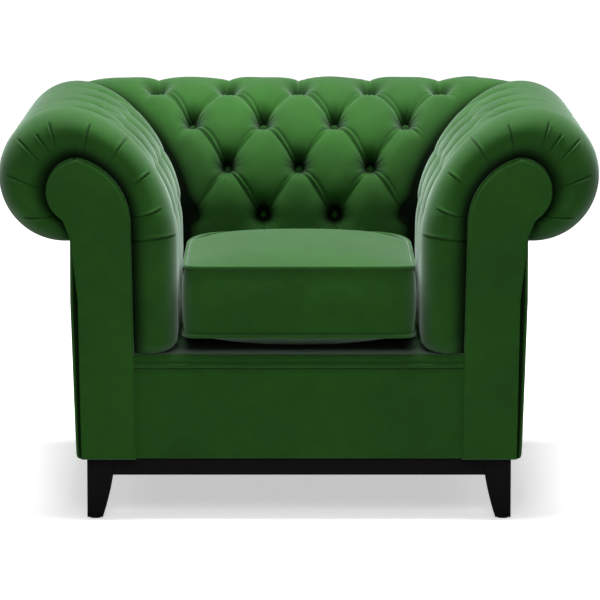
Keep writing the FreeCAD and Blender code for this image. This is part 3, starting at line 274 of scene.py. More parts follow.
def mitreFold(depth, paintedShade, gap, rowV):
    # where arm and back meet, both covers are pulled down into a deep fold that runs over the roll, and
    # painted shade darkens the fold
    away = np.clip(gap, 0, None) * math.sqrt(0.5)
    inRows = smooth(rowV, -1.6, -0.6) * (1 - 0.75 * smooth(rowV, 4.6, 5.6)) * (1 - smooth(rowV, 7.0, 9.0))
    fold = tufts["corner"] * np.exp(-(away / tufts["cornerWidth"]) ** 1.25) * inRows
    faded = depth * smooth(away, -0.01, 0.055)
    # painted shade along the fold
    dark = tufts["cornerShade"] * np.exp(-(away / 0.011) ** 1.6) * inRows
    return np.cbrt(faded ** 3 + fold ** 3), np.clip(paintedShade + dark, 0, 1)


def spacing(stretches):
    # values with their own step on each stretch: (from, to, step)
    values = []
    for low, high, step in stretches:
        count = max(2, int(round((high - low) / step)) + 1)
        values += list(np.linspace(low, high, count))[:-1]
    return np.array(values + [stretches[-1][1]])


def panelRuns(beyond):
    # fine steps over the tufts, and steps of the given size past them
    first, last = lowRun - 0.045, lowRun + 3.75 * tufts["row"]
    return spacing([(0, first, 0.007), (first, last, 0.0019), (last, crest.runs[-1], beyond)])


def makeGrid(name, points, outward, paintedShade=None):
    # points is rows x columns x 3; outward is a rough outward direction at the middle
    rowCount, columnCount = points.shape[:2]
    bpy.ops.mesh.primitive_grid_add(x_subdivisions=columnCount - 1, y_subdivisions=rowCount - 1, size=1)
    piece = bpy.context.object
    piece.name = name
    piece.data.name = name
    piece.data.vertices.foreach_set("co", points.reshape(-1).astype(np.float32))
    piece.data.update()
    normals = np.array([f.normal[:] for f in piece.data.polygons])
    if (normals.mean(axis=0) * outward).sum() < 0:
        bpy.ops.object.mode_set(mode="EDIT")
        bpy.ops.mesh.select_all(action="SELECT")
        bpy.ops.mesh.flip_normals()
        bpy.ops.object.mode_set(mode="OBJECT")
    # painted shade: a per-point amount that the velvet material blends in as a darker velvet
    if paintedShade is not None:
        piece.data.attributes.new("paintedShade", "FLOAT", "POINT")
        piece.data.attributes["paintedShade"].data.foreach_set("value", paintedShade.reshape(-1).astype(np.float32))
    bpy.ops.object.shade_smooth()
    return piece


def paint(piece, material):
    piece.data.materials.clear()
    piece.data.materials.append(material)


def settle(piece, body, slot, *nodes, fill=None):
    paint(piece, slotLooks[slot])
    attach(piece, body)
    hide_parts(*nodes)


def pick(*pieces):
    bpy.ops.object.select_all(action="DESELECT")
    for piece in pieces:
        piece.select_set(True)
    bpy.context.view_layer.objects.active = pieces[0]


def join(pieces, name):
    pick(*pieces)
    bpy.ops.object.join()
    joined = bpy.context.object
    joined.name = name
    joined.data.name = name
    return joined


def bake(piece):
    pick(piece)
    bpy.ops.object.transform_apply(location=True, rotation=True, scale=True)


class Wire:
    # a socket with arithmetic, so shader maths reads like maths
    def __init__(self, tree, socket):
        self.tree = tree
        self.socket = socket

    def math(self, kind, other=None, third=None):
        node = self.tree.nodes.new("ShaderNodeMath")
        node.operation = kind
        for index, value in enumerate((self, other, third)):
            if isinstance(value, Wire):
                self.tree.links.new(value.socket, node.inputs[index])
            elif value is not None:
                node.inputs[index].default_value = value
        return Wire(self.tree, node.outputs[0])

    def __add__(self, other):
        return self.math("ADD", other)

    def __radd__(self, other):
        return self.math("ADD", other)

    def __mul__(self, other):
        return self.math("MULTIPLY", other)

    def __rmul__(self, other):
        return self.math("MULTIPLY", other)

    def node(self, kind, into, output=0, **settings):
        made = self.tree.nodes.new(kind)
        for key, value in settings.items():
            if key in made.inputs:
                if isinstance(value, Wire):
                    self.tree.links.new(value.socket, made.inputs[key])
                else:
                    made.inputs[key].default_value = value
            else:
                setattr(made, key, value)
        self.tree.links.new(self.socket, made.inputs[into])
        return Wire(self.tree, made.outputs[output])


def newMaterial(name):
    material = bpy.data.materials.new(name)
    material.use_nodes = True
    tree = material.node_tree
    shader = tree.nodes["Principled BSDF"]
    coordinates = tree.nodes.new("ShaderNodeTexCoord")
    return material, tree, shader, Wire(tree, coordinates.outputs["Object"])


velvetTone = {
    "deep": (0.010, 0.060, 0.004), "bright": (0.018, 0.097, 0.007),
    "sheen": (0.64, 0.80, 0.70), "sheenWeight": 0.55, "sheenRoughness": 0.45,
    # painted shade: the darker velvet colour that is blended in where shade is painted
    "paintedShade": (0.0010, 0.0042, 0.0008),
    "broadScale": 7.0, "brushScale": 38.0, "pileScale": 900.0,
}


def noise(place, scale, detail, roughness):
    return place.node("ShaderNodeTexNoise", "Vector", Scale=scale, Detail=detail, Roughness=roughness)


def mixColours(tree, factor, first, second):
    mix = tree.nodes.new("ShaderNodeMix")
    mix.data_type = "RGBA"
    tree.links.new(factor.socket, mix.inputs["Factor"])
    mix.inputs["A"].default_value = (*first, 1)
    mix.inputs["B"].default_value = (*second, 1)
    return mix.outputs["Result"]


def addBump(tree, shader, height, strength, distance):
    bump = tree.nodes.new("ShaderNodeBump")
    bump.inputs["Strength"].default_value = strength
    bump.inputs["Distance"].default_value = distance
    tree.links.new(height.socket, bump.inputs["Height"])
    tree.links.new(bump.outputs["Normal"], shader.inputs["Normal"])


def blendShaders(tree, share, first, second, kind="Material"):
    blend = tree.nodes.new("ShaderNodeMixShader")
    for index, socket in enumerate((share, first, second)):
        tree.links.new(socket, blend.inputs[index])
    tree.links.new(blend.outputs["Shader"], tree.nodes[kind + " Output"].inputs["Surface"])


def velvet(name, tone):
    material, tree, shader, place = newMaterial(name)
    broad = noise(place, tone["broadScale"], 3.0, 0.55)
    brushed = noise(place, tone["brushScale"], 4.0, 0.6)
    pile = noise(place, tone["pileScale"], 2.0, 0.5)
    patches = broad * 0.6 + brushed * 0.4
    colour = mixColours(tree, patches.math("MULTIPLY_ADD", 2.2, -0.6), tone["deep"], tone["bright"])
    tree.links.new(colour, shader.inputs["Base Color"])
    tree.links.new((0.62 + patches * 0.25).socket, shader.inputs["Roughness"])
    addBump(tree, shader, brushed * 0.7 + pile * 0.3, 0.25, 0.002)
    shader.inputs["Specular IOR Level"].default_value = 0.12
    shader.inputs["Sheen Weight"].default_value = tone["sheenWeight"]
    shader.inputs["Sheen Roughness"].default_value = tone["sheenRoughness"]
    shader.inputs["Sheen Tint"].default_value = (*tone["sheen"], 1)
    # painted shade: a per-point attribute blends in a darker velvet without sheen where shade is painted
    paintedShadeVelvet = tree.nodes.new("ShaderNodeBsdfPrincipled")
    paintedShadeVelvet.inputs["Base Color"].default_value = (*tone["paintedShade"], 1)
    paintedShadeVelvet.inputs["Roughness"].default_value = 0.9
    paintedShadeVelvet.inputs["Specular IOR Level"].default_value = 0.05
    attribute = tree.nodes.new("ShaderNodeAttribute")
    attribute.attribute_name = "paintedShade"
    blendShaders(tree, attribute.outputs["Fac"], shader.outputs["BSDF"], paintedShadeVelvet.outputs["BSDF"])
    return material


def plain(name, colour, roughness=0.6, metallic=0.0, grain=0.0, bumpSize=0.0, scale=60.0):
    material, tree, shader, place = newMaterial(name)
    grains = noise(place, scale, 4.0, 0.6)
    darker = [c * (1 - grain) for c in colour]
    lighter = [min(1, c * (1 + grain)) for c in colour]
    tree.links.new(mixColours(tree, grains, darker, lighter), shader.inputs["Base Color"])
    shader.inputs["Roughness"].default_value = roughness
    shader.inputs["Metallic"].default_value = metallic
    if bumpSize:
        addBump(tree, shader, grains, 0.5, bumpSize)
    return material


def blackWood(name):
    material, tree, shader, place = newMaterial(name)
    stretched = place.node("ShaderNodeMapping", "Vector", Scale=(60, 60, 6))
    grainLine = noise(stretched, 4.0, 6.0, 0.65)
    colour = mixColours(tree, grainLine, (0.0020, 0.0020, 0.0021), (0.0060, 0.0059, 0.0057))
    tree.links.new(colour, shader.inputs["Base Color"])
    tree.links.new((0.5 + grainLine * 0.25).socket, shader.inputs["Roughness"])
    addBump(tree, shader, grainLine, 0.35, 0.0006)
    shader.inputs["Specular IOR Level"].default_value = 0.10
    return material


greenVelvet = velvet("green velvet", velvetTone)
wood = blackWood("black stained wood")
beech = plain("beech", (0.55, 0.38, 0.22), 0.6, grain=0.2)
jute = plain("jute lining", (0.42, 0.34, 0.22), 0.9, grain=0.25, bumpSize=0.0008, scale=400)
foam = plain("foam", (0.78, 0.72, 0.52), 0.9, grain=0.08, bumpSize=0.0006, scale=500)
blackCloth = plain("black dust cloth", (0.012, 0.012, 0.012), 0.95, grain=0.2, bumpSize=0.0004, scale=600)
blackPlastic = plain("black plastic", (0.02, 0.02, 0.02), 0.5)
zinc = plain("zinc plated steel", (0.62, 0.62, 0.62), 0.35, metallic=1.0)
zipTape = plain("zip tape", (0.010, 0.045, 0.008), 0.7, grain=0.3, bumpSize=0.0003, scale=900)
springSteel = plain("spring steel", (0.2, 0.2, 0.21), 0.4, metallic=1.0)


slotLooks = {
    "velvet": greenVelvet, "black_wood": wood, "frame_wood": beech, "foam": foam, "lining_cloth": jute,
    "dust_cloth": blackCloth, "glide_plastic": blackPlastic, "zinc_steel": zinc, "spring_steel": springSteel,
    "zip_tape": zipTape,
}
for part in frame["record"]["subparts"]:
    node = frame["nodes"][part["node"]]
    for place in node.material_slots:
        place.material = slotLooks[part["material_slot"]]
print("materials ready")


# tufted arms, with a plain band in front
band = {
    "start": -0.389, "front": -0.449, "peak": 0.52, "groove": 0.024, "steps": 34, "innerSteps": 26,
    "clear": 0.0012, "shade": 0.9, "rowStep": 0.0022, "columnStep": 0.0024, "mitreSteps": 44,
    "outPull": 0.86, "topPull": 0.22,
}
crease = {"depth": 0.0042, "width": 0.0016, "ridge": 0.45, "ridgeAt": 0.0044, "ridgeWidth": 0.0027,
          "shade": 0.75, "shadeWidth": 0.0015}
# pixels of the photograph at the front of the arms: middle of the chair, line of the floor, pixels in a metre
photoFrame = {"middle": 298.6, "floor": 521, "perMetre": 533.5}
# creases on the left arm's band: outer and inner end in pixels of the photograph, and the shares of the
# band's width, from the facing outwards, between which each is drawn
bandCreases = {
    "above the crown": ((52, 124), (57, 143), 0.80, 0.35),
    "crown, outer side": ((40, 136), (52, 152), 0.70, 0.28),
    "upper outer": ((22, 141), (38, 157), 0.86, 0.36),
    "outer": ((11.5, 176), (39, 187), 0.80, 0.20),
    "under the roll": ((27, 217), (57, 216), 0.74, 0.10),
    "top": ((92, 126.5), (86, 156), 0.80, 0.15),
    "top, inner side": ((131, 134), (112, 161), 0.98, 0.30),
    "upper inner": ((150, 174), (137, 183), 0.86, 0.42),
    "inner": ((160, 209), (137, 217), 0.76, 0.15),
    "lower inner": ((177, 236), (135, 242), 0.99, 0.09),
}


def bandRun(pixel):
    # the run at which a line from the facing to the crest passes nearest to a spot in the photograph
    reach = (photoFrame["middle"] - pixel[0]) / photoFrame["perMetre"] - seatHalf
    height = (photoFrame["floor"] - pixel[1]) / photoFrame["perMetre"]
    runs = np.linspace(0, crest.runs[-1], 2000)
    edge = np.array(boardEdge.at(boardRun(runs)))
    across = np.array(crest.at(runs)) - edge
    toSpot = np.array([[reach], [height]]) - edge
    shares = (toSpot * across).sum(axis=0) / (across ** 2).sum(axis=0)
    miss = np.hypot(*(across * shares - toSpot)) + np.where((shares < -0.1) | (shares > 1.15), 1, 0)
    return runs[miss.argmin()]


creaseEnds = [(bandRun(outer), bandRun(inner), *shares) for outer, inner, *shares in bandCreases.values()]


def bandCrease(runs, share):
    depth = np.zeros(len(runs))
    dark = np.zeros(len(runs))
    for runOut, runIn, shareOut, shareIn in creaseEnds:
        t = (share - shareOut) / (shareIn - shareOut)
        aside = runs - runOut - (runIn - runOut) * np.clip(t, 0, 1)
        reach = smooth(t, -0.05, 0.12) * (1 - 0.6 * smooth(t, 0.3, 1.0)) * (1 - smooth(t, 0.95, 1.25))
        ridge = crease["ridge"] * gauss(aside - crease["ridgeAt"], crease["ridgeWidth"])
        depth += crease["depth"] * reach * (gauss(aside, crease["width"]) - ridge)
        # painted shade: each crease is darkened along its line
        dark += crease["shade"] * reach * gauss(aside, crease["shadeWidth"])
    return depth, np.clip(dark, 0, 1)


def armPull(v):
    return band["outPull"] - band["topPull"] * smooth(v, 1.2, 3.0)      # less deep towards the arm's top


def armBand(rowsAt):
    # the plain band in front of the tufts, from the pad's edge round to the facing
    reach, height = crest.at(rowsAt)
    run = boardRun(rowsAt)
    edge = [e + n * band["clear"] for e, n in zip(boardEdge.at(run), boardEdge.normal(run))]
    width = np.hypot(reach - edge[0], height - edge[1])
    fullness = np.minimum(1, width / profile["rollRadius"] * 1.5)
    swell = (band["start"] - band["front"]) * fullness
    turn = np.linspace(0, math.pi / 2, band["steps"])
    peak = band["peak"]
    outerShares = peak + (1 - peak) * np.cos(turn[1:])
    shares = np.concatenate([outerShares, np.linspace(peak, 0, band["innerSteps"])[1:]])
    rings, shades = [], []
    for s in shares:
        if s >= peak:
            y = band["start"] - swell * math.sqrt(max(0, 1 - ((s - peak) / (1 - peak)) ** 2))
        else:
            y = band["start"] - swell + band["groove"] * fullness * ((peak - s) / peak) ** 2
        depth, dark = bandCrease(rowsAt, s)
        if s < 0.97:
            y = y + depth
        rings.append(np.stack([edge[0] + (reach - edge[0]) * s, y, edge[1] + (height - edge[1]) * s], axis=1))
        # painted shade: the band grows darker towards the groove at the facing
        shades.append(np.clip(dark + band["shade"] * smooth(peak - s, 0.05, peak) ** 1.7, 0, 1))
    return np.stack(rings[::-1], axis=1), np.stack(shades[::-1], axis=1)


def arms(side, name):
    rowsAt = panelRuns(band["rowStep"])
    reach = crest.at(rowsAt)[0]
    # columns: from the band back to the inside corner, then on to the mitre
    columnZero = seatBack - tufts["cornerGap"]
    plainColumns = spacing([(band["start"], columnZero, band["columnStep"])])
    along = np.empty((len(rowsAt), len(plainColumns) + band["mitreSteps"]))
    along[:, :len(plainColumns)] = plainColumns[None, :]
    share = np.linspace(0, 1, band["mitreSteps"] + 1)[1:]
    mitre = seatBack + reach - mitreGap
    along[:, len(plainColumns):] = columnZero + (mitre[:, None] - columnZero) * share[None, :]
    run = np.repeat(rowsAt[:, None], along.shape[1], axis=1)
    x = columnZero - along
    u = x / tufts["column"]
    rowV = (run - lowRun) / tufts["row"]
    depth, paintedShade = tuftDepth(x, run - lowRun, range(0, 8), 20 + side)
    depth *= armPull(rowV)
    depth *= 1 - smooth(u, 6.45, 7.0)      # the last half column runs out into the band
    depth *= smooth(u, -1.3, -0.4)
    depth, paintedShade = mitreFold(depth, paintedShade, mitre[:, None] - along, rowV)
    point, normal = crest.at(run), crest.normal(run)
    surface = np.stack([point[0] - normal[0] * depth, along, point[1] - normal[1] * depth], axis=2)
    surface[:, -1, 1] = seatBack + surface[:, -1, 0] - mitreGap
    front, shaded = armBand(rowsAt)
    whole = np.concatenate([front, surface], axis=1)
    whole[:, :, 0] = side * (seatHalf + whole[:, :, 0])
    paintedShade = np.concatenate([shaded, paintedShade], axis=1)
    return makeGrid(name, whole, np.array([-side * 0.3, -0.6, 0.8]), paintedShade)


# covered buttons
buttons = {"radius": 0.0105, "height": 0.0060, "under": 0.45, "depth": 0.0400, "shade": 0.62}


def buttonMesh(spot, normal):
    bpy.ops.mesh.primitive_uv_sphere_add(segments=24, ring_count=12, radius=buttons["radius"])
    piece = bpy.context.object
    co = np.array([v.co[:] for v in piece.data.vertices])
    domed, below = co[:, 2] / buttons["radius"] * buttons["height"], co[:, 2] * buttons["under"]
    co[:, 2] = np.where(co[:, 2] > 0, domed, below)
    out = np.array(normal) / np.linalg.norm(normal)
    helper = np.array([0, 0, 1.0]) if abs(out[2]) < 0.9 else np.array([1.0, 0, 0])
    across = np.cross(helper, out)
    across /= np.linalg.norm(across)
    upward = np.cross(out, across)
    placed = np.array(spot) + co[:, :1] * across + co[:, 1:2] * upward + co[:, 2:] * out
    piece.data.vertices.foreach_set("co", placed.reshape(-1))
    piece.data.update()
    # painted shade: each button is darkened by the same amount all over
    piece.data.attributes.new("paintedShade", "FLOAT", "POINT")
    piece.data.attributes["paintedShade"].data.foreach_set("value", np.full(len(co), buttons["shade"], np.float32))
    bpy.ops.object.shade_smooth()
    return piece


def crestSpot(run, depth):
    point, normal = crest.at(run), crest.normal(run)
    return point[0] - normal[0] * depth, point[1] - normal[1] * depth, normal


for side, word in ((1, "right"), (-1, "left")):
    arm = arms(side, word + "_arm_upholstery")
    replaced = [word + end for end in ("_inside_arm_cover", "_arm_foam", "_arm_lining")]
    settle(arm, "chair", "velvet", *replaced, fill=0.6)
    made = []
    for i, j in buttonSpots(range(1, 7)):
        reach, height, normal = crestSpot(lowRun + j * tufts["row"], buttons["depth"] * armPull(j))
        y = seatBack - tufts["cornerGap"] - i * tufts["column"]
        spot = (side * (seatHalf + reach), y, height)
        made.append(buttonMesh(spot, (side * normal[0], 0, normal[1])))
    group = join(made, word + "_arm_button_set")
    settle(group, "chair", "velvet", word + "_arm_buttons")
print("arms made")


# tufted back
backPad = {"rowStep": 0.005, "columnStep": 0.0020, "mitreSteps": 64, "shade": 0.42, "shadedRows": (-0.4, 2.3)}


def backPanel():
    rowsAt = panelRuns(backPad["rowStep"])
    mitre = seatHalf + crest.at(rowsAt)[0] - mitreGap
    lastFull = seatHalf - tufts["cornerGap"]
    middle = spacing([(-lastFull, lastFull, backPad["columnStep"])])
    share = np.linspace(0, 1, backPad["mitreSteps"] + 1)[1:]
    right = lastFull + (mitre[:, None] - lastFull) * share[None, :]
    along = np.concatenate([-right[:, ::-1], np.repeat(middle[None, :], len(rowsAt), axis=0), right], axis=1)
    run = np.repeat(rowsAt[:, None], along.shape[1], axis=1)
    rowV = (run - lowRun) / tufts["row"]
    depth, paintedShade = tuftDepth(along, run - lowRun, range(-4, 5), 5)
    depth, paintedShade = mitreFold(depth, paintedShade, mitre[:, None] - np.abs(along), rowV)
    # painted shade: the lower pillows are darkened, to match their tone in the photograph
    paintedShade = np.clip(paintedShade + backPad["shade"] * (1 - smooth(rowV, *backPad["shadedRows"])), 0, 1)
    point, normal = crest.at(run), crest.normal(run)
    reachNow = point[0] - normal[0] * depth
    surface = np.stack([along, seatBack + reachNow, point[1] - normal[1] * depth], axis=2)
    surface[:, -1, 0] = seatHalf + reachNow[:, -1] - mitreGap
    surface[:, 0, 0] = -seatHalf - reachNow[:, 0] + mitreGap
    return makeGrid("back_upholstery", surface, np.array([0, -0.6, 0.8]), paintedShade)


back = backPanel()
settle(back, "chair", "velvet", "inside_back_cover", "back_foam", "back_lining", fill=0.6)
made = []
for i, j in buttonSpots(range(-4, 5)):
    reach, height, normal = crestSpot(lowRun + j * tufts["row"], buttons["depth"])
    spot = (i * tufts["column"], seatBack + reach, height)
    made.append(buttonMesh(spot, (0, normal[0], normal[1])))
group = join(made, "back_button_set")
settle(group, "chair", "velvet", "back_buttons")
print("back made")


# front border, and the facings of the arms
border = {"face": -0.440, "edge": -0.436, "bottom": 0.1153, "top": 0.286, "bulge": 0.0025}
facingPad = {
    "front": -0.4548, "rear": -0.4165, "rounding": 0.0075, "dome": 0.0018, "domeWidth": 0.045,
    "grow": 0.0016, "columns": 64, "headTall": 0.07, "footGap": 0.0030, "ripple": 0.0003,
}


def roundOff(away, radius):
    # how far a rounded edge has dropped, at a distance from the outline
    return radius * (1 - np.sqrt(np.clip(1 - (1 - np.clip(away / radius, 0, 1)) ** 2, 0, 1)))


def facing(side, name):
    inner = np.concatenate([straightPoints(boards["foot"], boards["shoulder"], 80), headLine[0]])
    outer = np.concatenate([
        headLine[1], headLine[2][1:],
        straightPoints(boards["throat"], boards["neck"], 20)[1:],
        straightPoints(boards["neck"], boards["outer"], 30)[1:],
        straightPoints(boards["outer"], boards["outerFoot"], 60)[1:],
    ])
    outline = np.concatenate([inner, outer])
    low, high, headTall = border["bottom"], boards["crown"][1], facingPad["headTall"]
    headLevels = high - headTall * (1 - np.linspace(0, 1, 70)) ** 2
    levels = np.concatenate([[low], np.linspace(low, high - headTall, 90)[:-1], headLevels])
    grow = facingPad["grow"]
    left = np.interp(levels, inner[:, 1], inner[:, 0]) - grow
    right = np.interp(levels, outer[::-1, 1], outer[::-1, 0]) + grow
    levels = levels + grow * smooth(levels, high - 0.05, high)
    columns = facingPad["columns"]
    across = np.sin(np.linspace(-1, 1, columns) * math.pi / 2)
    reach = (left + right)[:, None] / 2 + (right - left)[:, None] / 2 * across[None, :]
    tall = np.repeat(levels[:, None], columns, axis=1)
    flat = np.stack([reach.reshape(-1), tall.reshape(-1)], axis=1)
    away = np.array([np.hypot(*(outline - spot).T).min() for spot in flat]).reshape(reach.shape)
    inside = (flat[:, 1] < high).reshape(reach.shape)
    away = away + grow * np.where(inside, 1, -1)
    away[:, 0] = away[:, -1] = away[-1, :] = 0
    away = np.minimum(away, tall - low + facingPad["footGap"])
    drop = roundOff(away, facingPad["rounding"])
    drop = drop + facingPad["dome"] * (1 - smooth(away, 0, facingPad["domeWidth"]))
    y = facingPad["front"] + drop + facingPad["ripple"] * np.sin(31 * tall + side) * np.sin(40 * reach)
    y[:, 0] = y[:, -1] = y[-1, :] = y[0, :] = facingPad["rear"]
    points = np.stack([side * (seatHalf + reach), y, tall], axis=2)
    return makeGrid(name, points, np.array([0, -1, 0]))


for side, word in ((1, "right"), (-1, "left")):
    pad = facing(side, word + "_facing_panel")
    settle(pad, "chair", "velvet", word + "_arm_facing")
print("facings made")


# the loose seat cushion
cushion = {
    "half": 0.213, "front": -0.448, "rear": 0.110, "topSeam": 0.475, "bottomSeam": 0.349,
    "crown": 0.0240, "bottom": 0.3115, "belly": 0.006, "cuts": 47,
    "piping": 0.0035, "pipingOff": 0.0015, "cornerSteps": 16,
    "frontCorner": (0.030, 0.030), "rearCorner": (0.072, 0.170),      # across and along
}
cushionCloth = {
    "quality": 6, "mass": 0.3, "stiffness": 25, "bending": 0.6, "pressure": 3.0,
    "slack": 0.003, "cap": 0.007, "frames": 20, "seamHeld": 0.0015, "flatHeld": 0.002,
}


def readPoints(piece):
    points = np.empty(len(piece.data.vertices) * 3)
    piece.data.vertices.foreach_get("co", points)
    return points.reshape(-1, 3)


def writePoints(piece, points):
    piece.data.vertices.foreach_set("co", points.reshape(-1))
    piece.data.update()


def cushionMesh(name):
    bpy.ops.mesh.primitive_cube_add(size=2)
    piece = bpy.context.object
    piece.name = name
    bpy.ops.object.mode_set(mode="EDIT")
    bpy.ops.mesh.select_all(action="SELECT")
    bpy.ops.mesh.subdivide(number_cuts=cushion["cuts"])
    bpy.ops.object.mode_set(mode="OBJECT")
    a, b, c = readPoints(piece).T
    middle = (cushion["front"] + cushion["rear"]) / 2
    deep = (cushion["rear"] - cushion["front"]) / 2
    seamMid = (cushion["topSeam"] + cushion["bottomSeam"]) / 2
    tall = (cushion["topSeam"] - cushion["bottomSeam"]) / 2
    sunk = cushion["bottomSeam"] - cushion["bottom"]
    dome = ((1 - np.abs(a) ** 2.3) * (1 - np.abs(b) ** 2.6)) ** 0.8
    z = seamMid + c * tall + dome * np.where(c > 0.999, cushion["crown"], np.where(c < -0.999, -sunk, 0))
    belly = cushion["belly"] * (1 - c ** 2)
    x = a * cushion["half"] + np.where(np.abs(a) > 0.999, np.sign(a) * belly * (1 - b ** 8), 0)
    y = middle + b * deep + np.where(np.abs(b) > 0.999, np.sign(b) * belly * (1 - a ** 8), 0)
    # plan corners are rounded
    wide, long = [np.where(y > middle, cushion["rearCorner"][k], cushion["frontCorner"][k]) for k in (0, 1)]
    nearX = np.clip(np.abs(x) - (cushion["half"] - wide), 0, None) / wide
    nearY = np.clip(np.abs(y - middle) - (deep - long), 0, None) / long
    reach = np.hypot(nearX, nearY)
    square = np.maximum(nearX, nearY)
    shrink = np.where(reach > 1e-9, square / np.maximum(reach, 1e-9), 1)
    x = np.sign(x) * (np.abs(x) - wide * nearX * (1 - shrink))
    y = middle + np.sign(y - middle) * (np.abs(y - middle) - long * nearY * (1 - shrink))
    writePoints(piece, np.stack([x, y, z], axis=1))
    bpy.ops.object.shade_smooth()
    return piece


def clothPass(piece, held, looks):
    # the cover is blown up by its filling between the held seams, and the move is kept within the cap
    before = readPoints(piece)
    group = piece.vertex_groups.new(name="held")
    group.add([int(k) for k in np.flatnonzero(held)], 1.0, "REPLACE")
    cloth = piece.modifiers.new("cloth", "CLOTH")
    cloth.settings.vertex_group_mass = "held"
    cloth.settings.quality = looks["quality"]
    cloth.settings.mass = looks["mass"]
    cloth.settings.tension_stiffness = looks["stiffness"]
    cloth.settings.compression_stiffness = looks["stiffness"]
    cloth.settings.bending_stiffness = looks["bending"]
    cloth.settings.shrink_min = -looks["slack"]
    cloth.settings.use_pressure = True
    cloth.settings.uniform_pressure_force = looks["pressure"]
    cloth.settings.effector_weights.gravity = 0
    cloth.point_cache.frame_start = 1
    cloth.point_cache.frame_end = looks["frames"]
    for step in range(1, looks["frames"] + 1):
        bpy.context.scene.frame_set(step)
    pick(piece)
    bpy.ops.object.modifier_apply(modifier="cloth")
    bpy.context.scene.frame_set(1)
    move = readPoints(piece) - before
    size = np.linalg.norm(move, axis=1)
    move *= (np.minimum(size, looks["cap"]) / np.maximum(size, 1e-9))[:, None]
    print("cloth moved up to", round(float(size.max()) * 1000, 1), "mm")
    writePoints(piece, before + move)
    piece.vertex_groups.clear()


pad = cushionMesh("seat_cushion_pad")
height = readPoints(pad)[:, 2]
held = height < cushion["bottom"] + cushionCloth["flatHeld"]
for seam in (cushion["topSeam"], cushion["bottomSeam"]):
    held = held | (np.abs(height - seam) < cushionCloth["seamHeld"])
clothPass(pad, held, cushionCloth)
settle(pad, "seat_cushion", "velvet", "cushion_cover", "cushion_foam", fill=0.6)


def tube(name, points, radius, closed=False):
    curve = bpy.data.curves.new(name, "CURVE")
    curve.dimensions = "3D"
    spline = curve.splines.new("POLY")
    spline.points.add(len(points) - 1)
    for point, co in zip(spline.points, points):
        point.co = (*co, 1)
    spline.use_cyclic_u = closed
    curve.bevel_depth = radius
    curve.bevel_resolution = 4
    curve.use_fill_caps = not closed
    holder = bpy.data.objects.new(name, curve)
    bpy.context.collection.objects.link(holder)
    pick(holder)
    bpy.ops.object.convert(target="MESH")
    piece = bpy.context.object
    piece.name = name
    bpy.ops.object.shade_smooth()
    return piece


def pipingLoop(name, height):
    out = cushion["piping"] * 0.5
    steps = cushion["cornerSteps"]
    points = []
    for sx, sy, first in ((1, -1, 270), (1, 1, 0), (-1, 1, 90), (-1, -1, 180)):
        wide, long = cushion["rearCorner"] if sy > 0 else cushion["frontCorner"]
        cx = sx * (cushion["half"] + out - wide)
        edge = cushion["rear"] + out if sy > 0 else cushion["front"] - out
        cy = edge - sy * long
        for k in range(steps + 1):
            turn = math.radians(first + 90 * k / steps)
            points.append((cx + wide * math.cos(turn), cy + long * math.sin(turn), height))
    return tube(name, points, cushion["piping"], closed=True)


upperPiping = ("cushion_upper_piping", "cushion_top_welt", cushion["topSeam"] + cushion["pipingOff"])
lowerPiping = ("cushion_lower_piping", "cushion_bottom_welt", cushion["bottomSeam"] - cushion["pipingOff"])
for name, node, height in (upperPiping, lowerPiping):
    loop = pipingLoop(name, height)
    settle(loop, "seat_cushion", "velvet", node)
print("cushion made")


# deck, lip and border: half their width at the border's bottom, and what they gain up to the deck's top
between = {"half": 0.3052, "widen": 0.0036}
deck = {
    "top": 0.311, "front": -0.436, "rear": 0.2, "lip": 0.014, "lipEnd": 200,
    "welt": 0.004, "weltHalf": 0.3085, "weltHeight": 0.2907, "weltOut": 0.002,
}


def extrudeProfile(name, outline, bulge=0.0):
    count = 90
    grid = np.empty((len(outline), count, 3))
    for k, (y, z) in enumerate(outline):
        wide = between["half"] + between["widen"] * (z - border["bottom"]) / (deck["top"] - border["bottom"])
        xs = wide * np.sin(np.linspace(-1, 1, count) * math.pi / 2)
        grid[k, :, 0] = xs
        grid[k, :, 1] = y - bulge * math.sin(math.pi * k / (len(outline) - 1)) * (1 - (xs / wide) ** 8)
        grid[k, :, 2] = z
    return makeGrid(name, grid, np.array([0, -1, 0.2]))


lip = deck["lip"]
flatRun = deck["rear"] - deck["front"] - lip
turns = np.radians(np.linspace(90, deck["lipEnd"], 16))
lipLine = [(deck["front"] + lip + lip * math.cos(t), deck["top"] - lip + lip * math.sin(t)) for t in turns]
deckLine = [(deck["rear"] - flatRun * k / 30, deck["top"]) for k in range(30)] + lipLine
piece = extrudeProfile("deck_top", deckLine)
settle(piece, "chair", "velvet", "deck_cover", "seat_deck_pad")

weltPlace = (0, deck["front"] - deck["weltOut"], deck["weltHeight"])
bpy.ops.mesh.primitive_cylinder_add(radius=deck["welt"], depth=2 * deck["weltHalf"], vertices=24,
                                    location=weltPlace, rotation=(0, math.pi / 2, 0))
piece = bpy.context.object
piece.name = "deck_piping"
bake(piece)
bpy.ops.object.shade_smooth_by_angle(angle=math.radians(40))
settle(piece, "chair", "velvet", "deck_welt")

steps = 30
borderDrop = border["bottom"] - border["top"]
borderLine = [(border["face"], border["top"] + borderDrop * k / steps) for k in range(1, steps)]
borderLine = [(border["edge"], border["top"])] + borderLine + [(border["edge"], border["bottom"])]
piece = extrudeProfile("border_front_panel", borderLine, border["bulge"])
settle(piece, "chair", "velvet", "front_border")
print("deck made")


